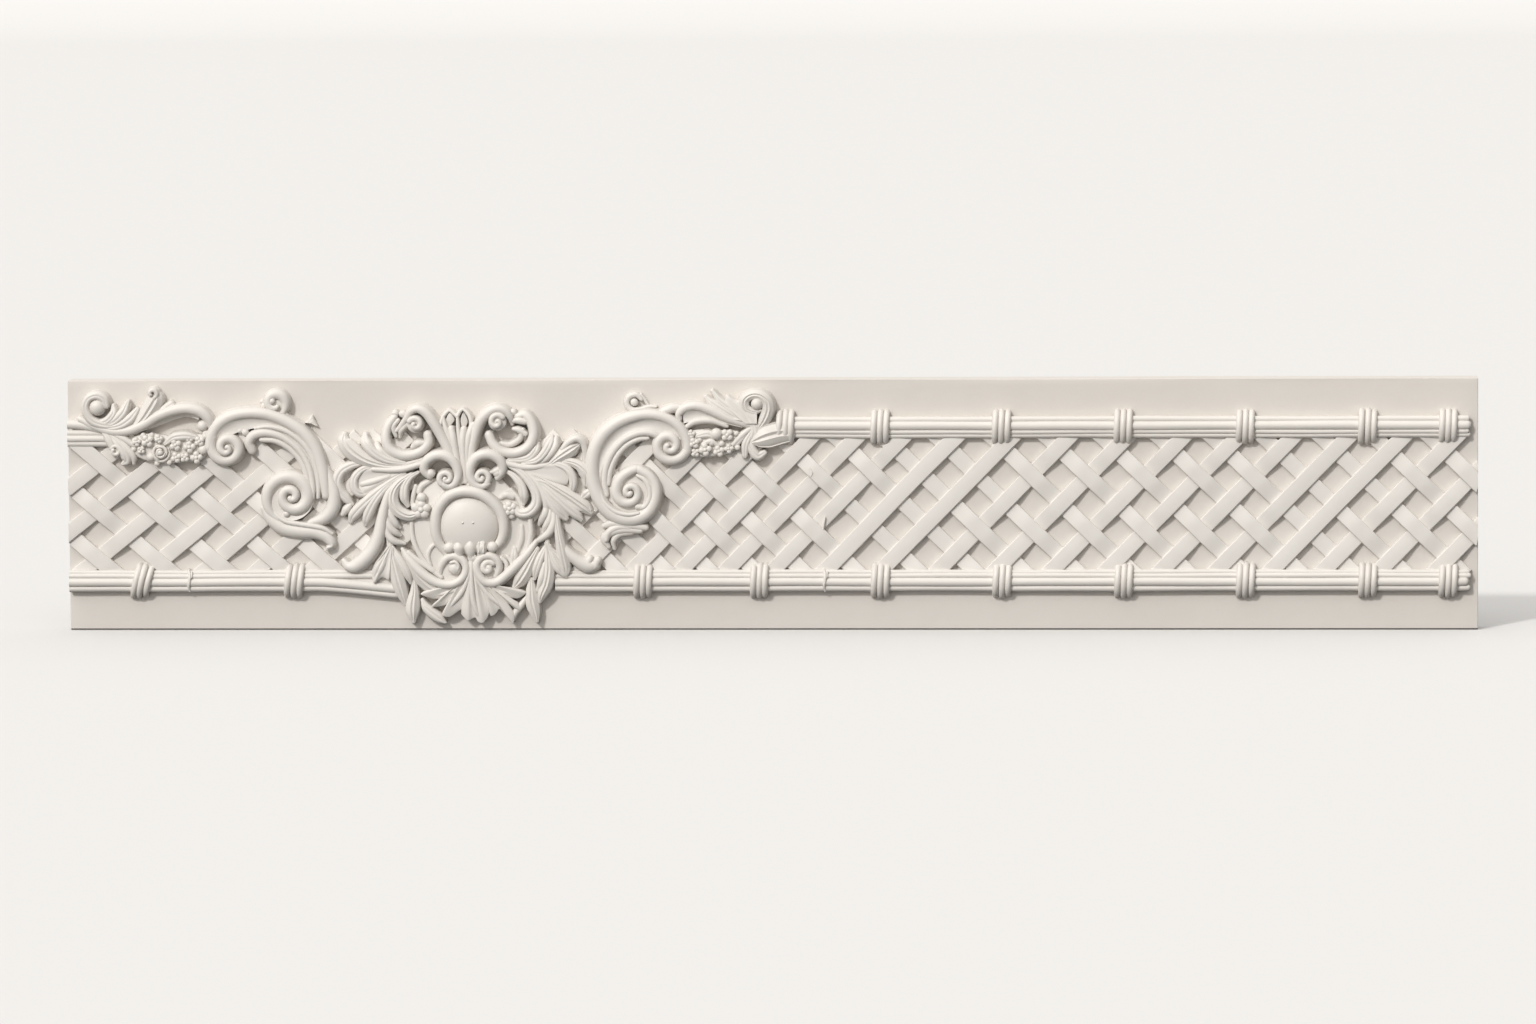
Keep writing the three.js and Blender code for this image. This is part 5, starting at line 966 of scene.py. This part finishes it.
piece("spray_left", [
    *leaves(LEFT_SPRAY, 1.1), *[strand(line) for line in LEFT_STEMS], knob(97.5, 407, 8.4, 16),
    winding(115, 450, [(150, 4, 2, 13.5), (60, 4.6, 2.1, 14), (-30, 4.4, 2.1, 14), (-120, 3.6, 2, 14),
        (-200, 1.6, 1.8, 14.4)]), knob(115, 450, 5, 11.5),
    winding(153.5, 393.5, [(-60, 4.2, 2, 16), (30, 4.2, 2.2, 16.5), (110, 3.6, 2.2, 17), (200, 1.8, 1.8, 17)]),
    knob(203, 425.5, 5.6, 15), knob(206, 433, 3.4, 13),
    ribbon([(146, 424, 14.5), (160, 415.5, 15), (176, 410, 15.5), (190, 409, 15.5), (201, 413, 15)],
           [(146, 430, 12), (160, 425, 11.5), (176, 419, 11.5), (189, 416.5, 12), (199, 419.5, 12.5)],
           [0.9, 0.86, 0.8, 0.76, 0.74, 0.74]),
    plate([(132, 438), (150, 433), (176, 436), (204, 434), (208, 446), (204, 458), (186, 462), (160, 463), (140, 458),
           (131, 450)], 10.5),
    *garland(LEFT_GARLAND)], "left_garland_spray", CAST_PLASTER)
RIGHT_SPRAY = (
    [(757, 431, 2.6, 12), (764, 421, 5.4, 14.5), (768, 410.5, 6, 15.5), (766.8, 401.4, 5.6, 16),
     (759.6, 395.8, 4.8, 16), (751, 395.8, 4.6, 15.5), (744.6, 401, 5, 15), (745.6, 408.6, 4.6, 14.4),
     (753, 412.4, 3.2, 13.6), (760, 411, 2, 13)],
    [(754, 426, 3, 13), (738, 419.5, 4.6, 14), (724, 411.4, 4.6, 14), (712, 403.6, 4, 12.5), (706, 397.5, 1.8, 10.5)],
    [(752, 422, 3, 13), (737, 413.5, 4.6, 14), (722, 403.4, 3.8, 13), (712.4, 391.5, 1.6, 10.5)],
    [(724, 411, 2.2, 13), (718, 402, 2.6, 12), (714.6, 396, 1.4, 10)],
    [(727, 426.5, 2, 12), (712, 421.4, 2.8, 13), (696, 422, 3.2, 13), (686.6, 427.4, 2.2, 12)],
    [(752, 428, 2.4, 12.5), (743, 435, 3.2, 14), (733.6, 444.5, 2.6, 13.2)],
    [(749, 430, 2, 12.5), (742, 439, 2.6, 13.4), (735.6, 446.4, 1.8, 12.4)],
    [(752, 432, 2.6, 13), (746, 444, 4.2, 14), (744.6, 456.5, 2.8, 12.5)],
    [(750, 436, 2.6, 12.6), (750.6, 447, 4.4, 13.5), (757, 456.5, 4.6, 13.4), (764, 453.4, 2.8, 12)],
    [(751, 424, 3.6, 13), (754.6, 432, 4.6, 14), (751.6, 441, 3.6, 13)],
    [(698, 436.4, 2.6, 13.5), (708, 434.6, 4.2, 14.5), (715, 438, 2.4, 13.5)],
    [(703, 444.6, 2, 13.5), (711, 441.6, 3, 14.5), (718, 446, 2, 13.5)])
RIGHT_STEMS = (
    [(757, 427, 3, 12.6), (742, 423.4, 4.2, 13.6), (727, 418.4, 5, 14.4), (712, 411.4, 5, 15), (699, 407, 4.6, 15.2),
     (687, 408, 4.4, 15), (679.6, 414, 4, 14), (680, 420, 2.6, 12.5)],)
piece("spray_right", [
    *leaves(RIGHT_SPRAY, 1.05), *[strand(line) for line in RIGHT_STEMS], knob(757, 404.6, 6, 17),
    ribbon([(683, 413, 13), (696, 410, 13.4), (710, 414, 13.6), (726, 421, 13.6), (742, 426, 13.4)],
           [(684, 424, 11), (697, 420.4, 11), (711, 420, 11.4), (725, 424, 11.8), (742, 428, 12)],
           [1.0, 0.9, 0.86, 0.86, 0.92, 1.0]),
    leaf([(757, 424), (746, 424), (740, 420)], [(757, 411), (745, 409), (741, 402), (735, 400.5), (726.4, 395.4),
        (725.6, 406), (726, 412), (730, 419), (737, 424)], 14.5, 12.6, 0.4),
    strand([(786, 433.8, 9.6, 14), (777, 434.4, 11.4, 15.6), (766, 437.2, 11.4, 17), (757.4, 440.4, 7.6, 15.6),
            (753, 442, 3.4, 13.4)], PLEATED),
    plate([(687, 434), (700, 430), (716, 431), (734, 431), (740, 442), (732, 453), (714, 457), (698, 457),
           (687, 448)], 10.5),
    *garland(RIGHT_GARLAND)], "right_garland_spray", CAST_PLASTER)

# Small curls above the C-scrolls
piece("curl_left", [
    winding(276, 402.6, [(-62, 12.4, 2.6, 10), (-30, 11, 4, 11.4), (20, 9.6, 5, 12.6), (75, 8.4, 5.2, 13.4),
        (130, 8, 4.8, 13.8), (185, 7.2, 4, 14),
                         (245, 6, 3.2, 14.2), (300, 4.6, 2.4, 14)]),
    knob(276, 403, 10, 9.5, 0.2, 28), knob(273.2, 400.8, 3.2, 14), strand([(281, 412, 3.4, 9.5), (287, 416, 2.8, 9)]),
    knob(264.5, 405.5, 3.4, 10), knob(262.6, 401.6, 2.4, 9)], "left_curl", CAST_PLASTER)
piece("curl_right", [
    strand([(656, 407.5, 1.4, 5), (648, 407.5, 2, 6), (640, 410, 2.2, 7), (632, 410.3, 2.8, 7.6), (627, 404.5, 3, 8),
            (629.4, 397.8, 3, 8), (636.5, 395.8, 2.6, 7.6), (641.6, 400, 2, 7)]),
    knob(634.5, 403, 4, 8.4), strand([(641, 395.5, 1.6, 5.5), (645, 401, 1.8, 5), (648.5, 406.5, 1.4, 4.5)])],
    "right_curl", CAST_PLASTER)

# Backing board: narrow rounded arrises, a wider ease along its foot, and a face that is not quite flat
ARRIS = 0.5 * MM
FOOT_EASE = 1.15 * MM
RIM_TURNS = np.radians([0, 30, 60, 90])
FACE_COLUMNS, FACE_ROWS = 160, 30


def board_shell():
    """Rounded slab: the face is a grid whose height wavers by slow sines, and its edges turn back by quarter rounds,
    so that a point at the rim sits in by the radius times one less the cosine."""
    turn_in, turn_back = ARRIS * (1 - np.cos(RIM_TURNS)), ARRIS * (1 - np.sin(RIM_TURNS))
    x = np.concatenate([board_low.x + turn_in, np.linspace(board_low.x + 10 * MM, board_high.x - 10 * MM,
        FACE_COLUMNS),
                        board_high.x - turn_in[::-1]])
    z = np.concatenate([board_low.z + FOOT_EASE * np.array([0, 0.28, 0.62, 1.0]),
                        np.linspace(board_low.z + 4 * MM, board_high.z - 4 * MM, FACE_ROWS),
                        board_high.z - turn_in[::-1]])
    back_x = np.concatenate([turn_back, np.zeros(FACE_COLUMNS), turn_back[::-1]])
    back_z = np.concatenate([FOOT_EASE * np.array([2.2, 2.0, 1.5, 0.0]), np.zeros(FACE_ROWS), turn_back[::-1]])
    X, Z = np.meshgrid(x, z, indexing="ij")
    back = np.maximum(back_x[:, None], back_z[None, :])
    waver = 0.05 * MM * (1 + np.sin(X * 17 + 1.3) * np.sin(Z * 41 + 0.4))
    front = np.stack([X, FACE + back + np.where(back > 0, 0, waver), Z], -1).reshape(-1, 3)
    columns, rows = len(x), len(z)
    i, j = np.meshgrid(np.arange(columns - 1), np.arange(rows - 1), indexing="ij")
    a = i * rows + j
    quads = np.stack([a, a + rows, a + rows + 1, a + 1], -1).reshape(-1, 4)
    rim = np.concatenate([np.arange(columns) * rows, (columns - 1) * rows + np.arange(1, rows),
                          np.arange(columns - 2, -1, -1) * rows + rows - 1, np.arange(rows - 2, 0, -1)])
    behind = front[rim]
    behind[:, 1] = board_high.y
    cap = len(front) + np.arange(len(rim))
    walls = np.stack([rim, cap, np.roll(cap, -1), np.roll(rim, -1)], -1)
    return np.vstack([front, behind]), [quads, walls, cap[None]]


board = piece("board", [board_shell()], "backing_board", BOARD_PLASTER, 40)

# Camera: its focal length and the width of the picture are in pixels of the frame
FOCAL, PICTURE_WIDE, SENSOR = 8469, 1536, 36
AWAY = 6.0
TARGET = Vector((-0.00135, 0.0, 0.0839))
AROUND, ABOVE, ROLL = math.radians(3.67), math.radians(4.69), math.radians(-0.365)
outward = Vector((math.sin(AROUND) * math.cos(ABOVE), -math.cos(AROUND) * math.cos(ABOVE), math.sin(ABOVE)))
camera_data = bpy.data.cameras.new("camera")
camera_data.lens = FOCAL * SENSOR / PICTURE_WIDE
camera_data.sensor_width = SENSOR
camera_data.clip_end = 100
camera = place_in_scene("camera", camera_data)
camera.location = TARGET + Vector((0, FACE, 0)) + outward * AWAY
camera.rotation_mode = "QUATERNION"
camera.rotation_quaternion = (-outward).to_track_quat("-Z", "Y") @ Quaternion((0, 0, 1), ROLL)
bpy.context.scene.camera = camera


# Floor that rises into the backdrop
def sweep_floor():
    """Sheet carried along X: flat in front, then a quarter circle, then upright."""
    bend = np.radians(np.linspace(0, 90, 20))
    y = np.concatenate([[-12, -2, 0, 4], 16 + 3 * np.sin(bend), [19]])
    z = np.concatenate([[0, 0, 0, 0], 3 - 3 * np.cos(bend), [9]])
    x = np.array([-16.0, 16.0])
    spots = np.stack([np.repeat(x[None], len(y), 0), np.repeat(y[:, None], 2, 1), np.repeat(z[:, None], 2, 1)], -1)
    i = np.arange(len(y) - 1) * 2
    faces = np.stack([i, i + 1, i + 3, i + 2], -1)
    mesh = bpy.data.meshes.new("floor")
    mesh.from_pydata(spots.reshape(-1, 3).tolist(), [], faces.tolist())
    mesh.shade_smooth()
    return place_in_scene("floor", mesh)


paper = Finish(bpy.data.materials.new("paper"), "Principled BSDF")
paper.feed({"Base Color": (0.745, 0.738, 0.73, 1), "Roughness": 0.9, "Specular IOR Level": 0.1})
floor = sweep_floor()
floor.data.materials.append(paper.owner)
floor.visible_diffuse = False


# Light
def lit_from(towards):
    """Unit direction from the object to where the light comes from."""
    return Vector(towards).normalized()


LAMP_FROM = lit_from((-0.52, -1.0, 0.72))
lamp = bpy.data.lights.new("window", "SUN")
lamp.energy = 1.62
lamp.angle = math.radians(6)
lamp.color = (1.0, 0.992, 0.98)
window = place_in_scene("window", lamp)
window.rotation_mode = "QUATERNION"
window.rotation_quaternion = (-LAMP_FROM).to_track_quat("-Z", "Y")

# The room is a soft dome: brightest above and to the left in front, with a lesser glow above and behind
room = bpy.data.worlds.new("room")
bpy.context.scene.world = room
sky = Finish(room, "Background")
way = sky.node("ShaderNodeTexCoord", output="Generated")


def lobe(towards):
    """Glow about a direction: the cosine of the angle to it, never under nought, squared."""
    facing = sky.node("ShaderNodeVectorMath", {"operation": "DOT_PRODUCT"}, {0: way, 1: lit_from(towards)}, "Value")
    return facing.at_least(0.0) ** 2.0


overhead = sky.node("ShaderNodeSeparateXYZ", inputs={0: way}, output="Z").at_least(0.0)
sky.feed({"Strength": lobe((-0.42, -1.0, 0.8)) * 1.3 + overhead * 0.24 + 0.1 + lobe((0.1, 1.0, 0.75)) * 0.9,
          "Color": (1.0, 0.985, 0.962, 1)})
bpy.context.scene.view_settings.view_transform = "Standard"
bpy.context.scene.view_settings.gamma = 0.85
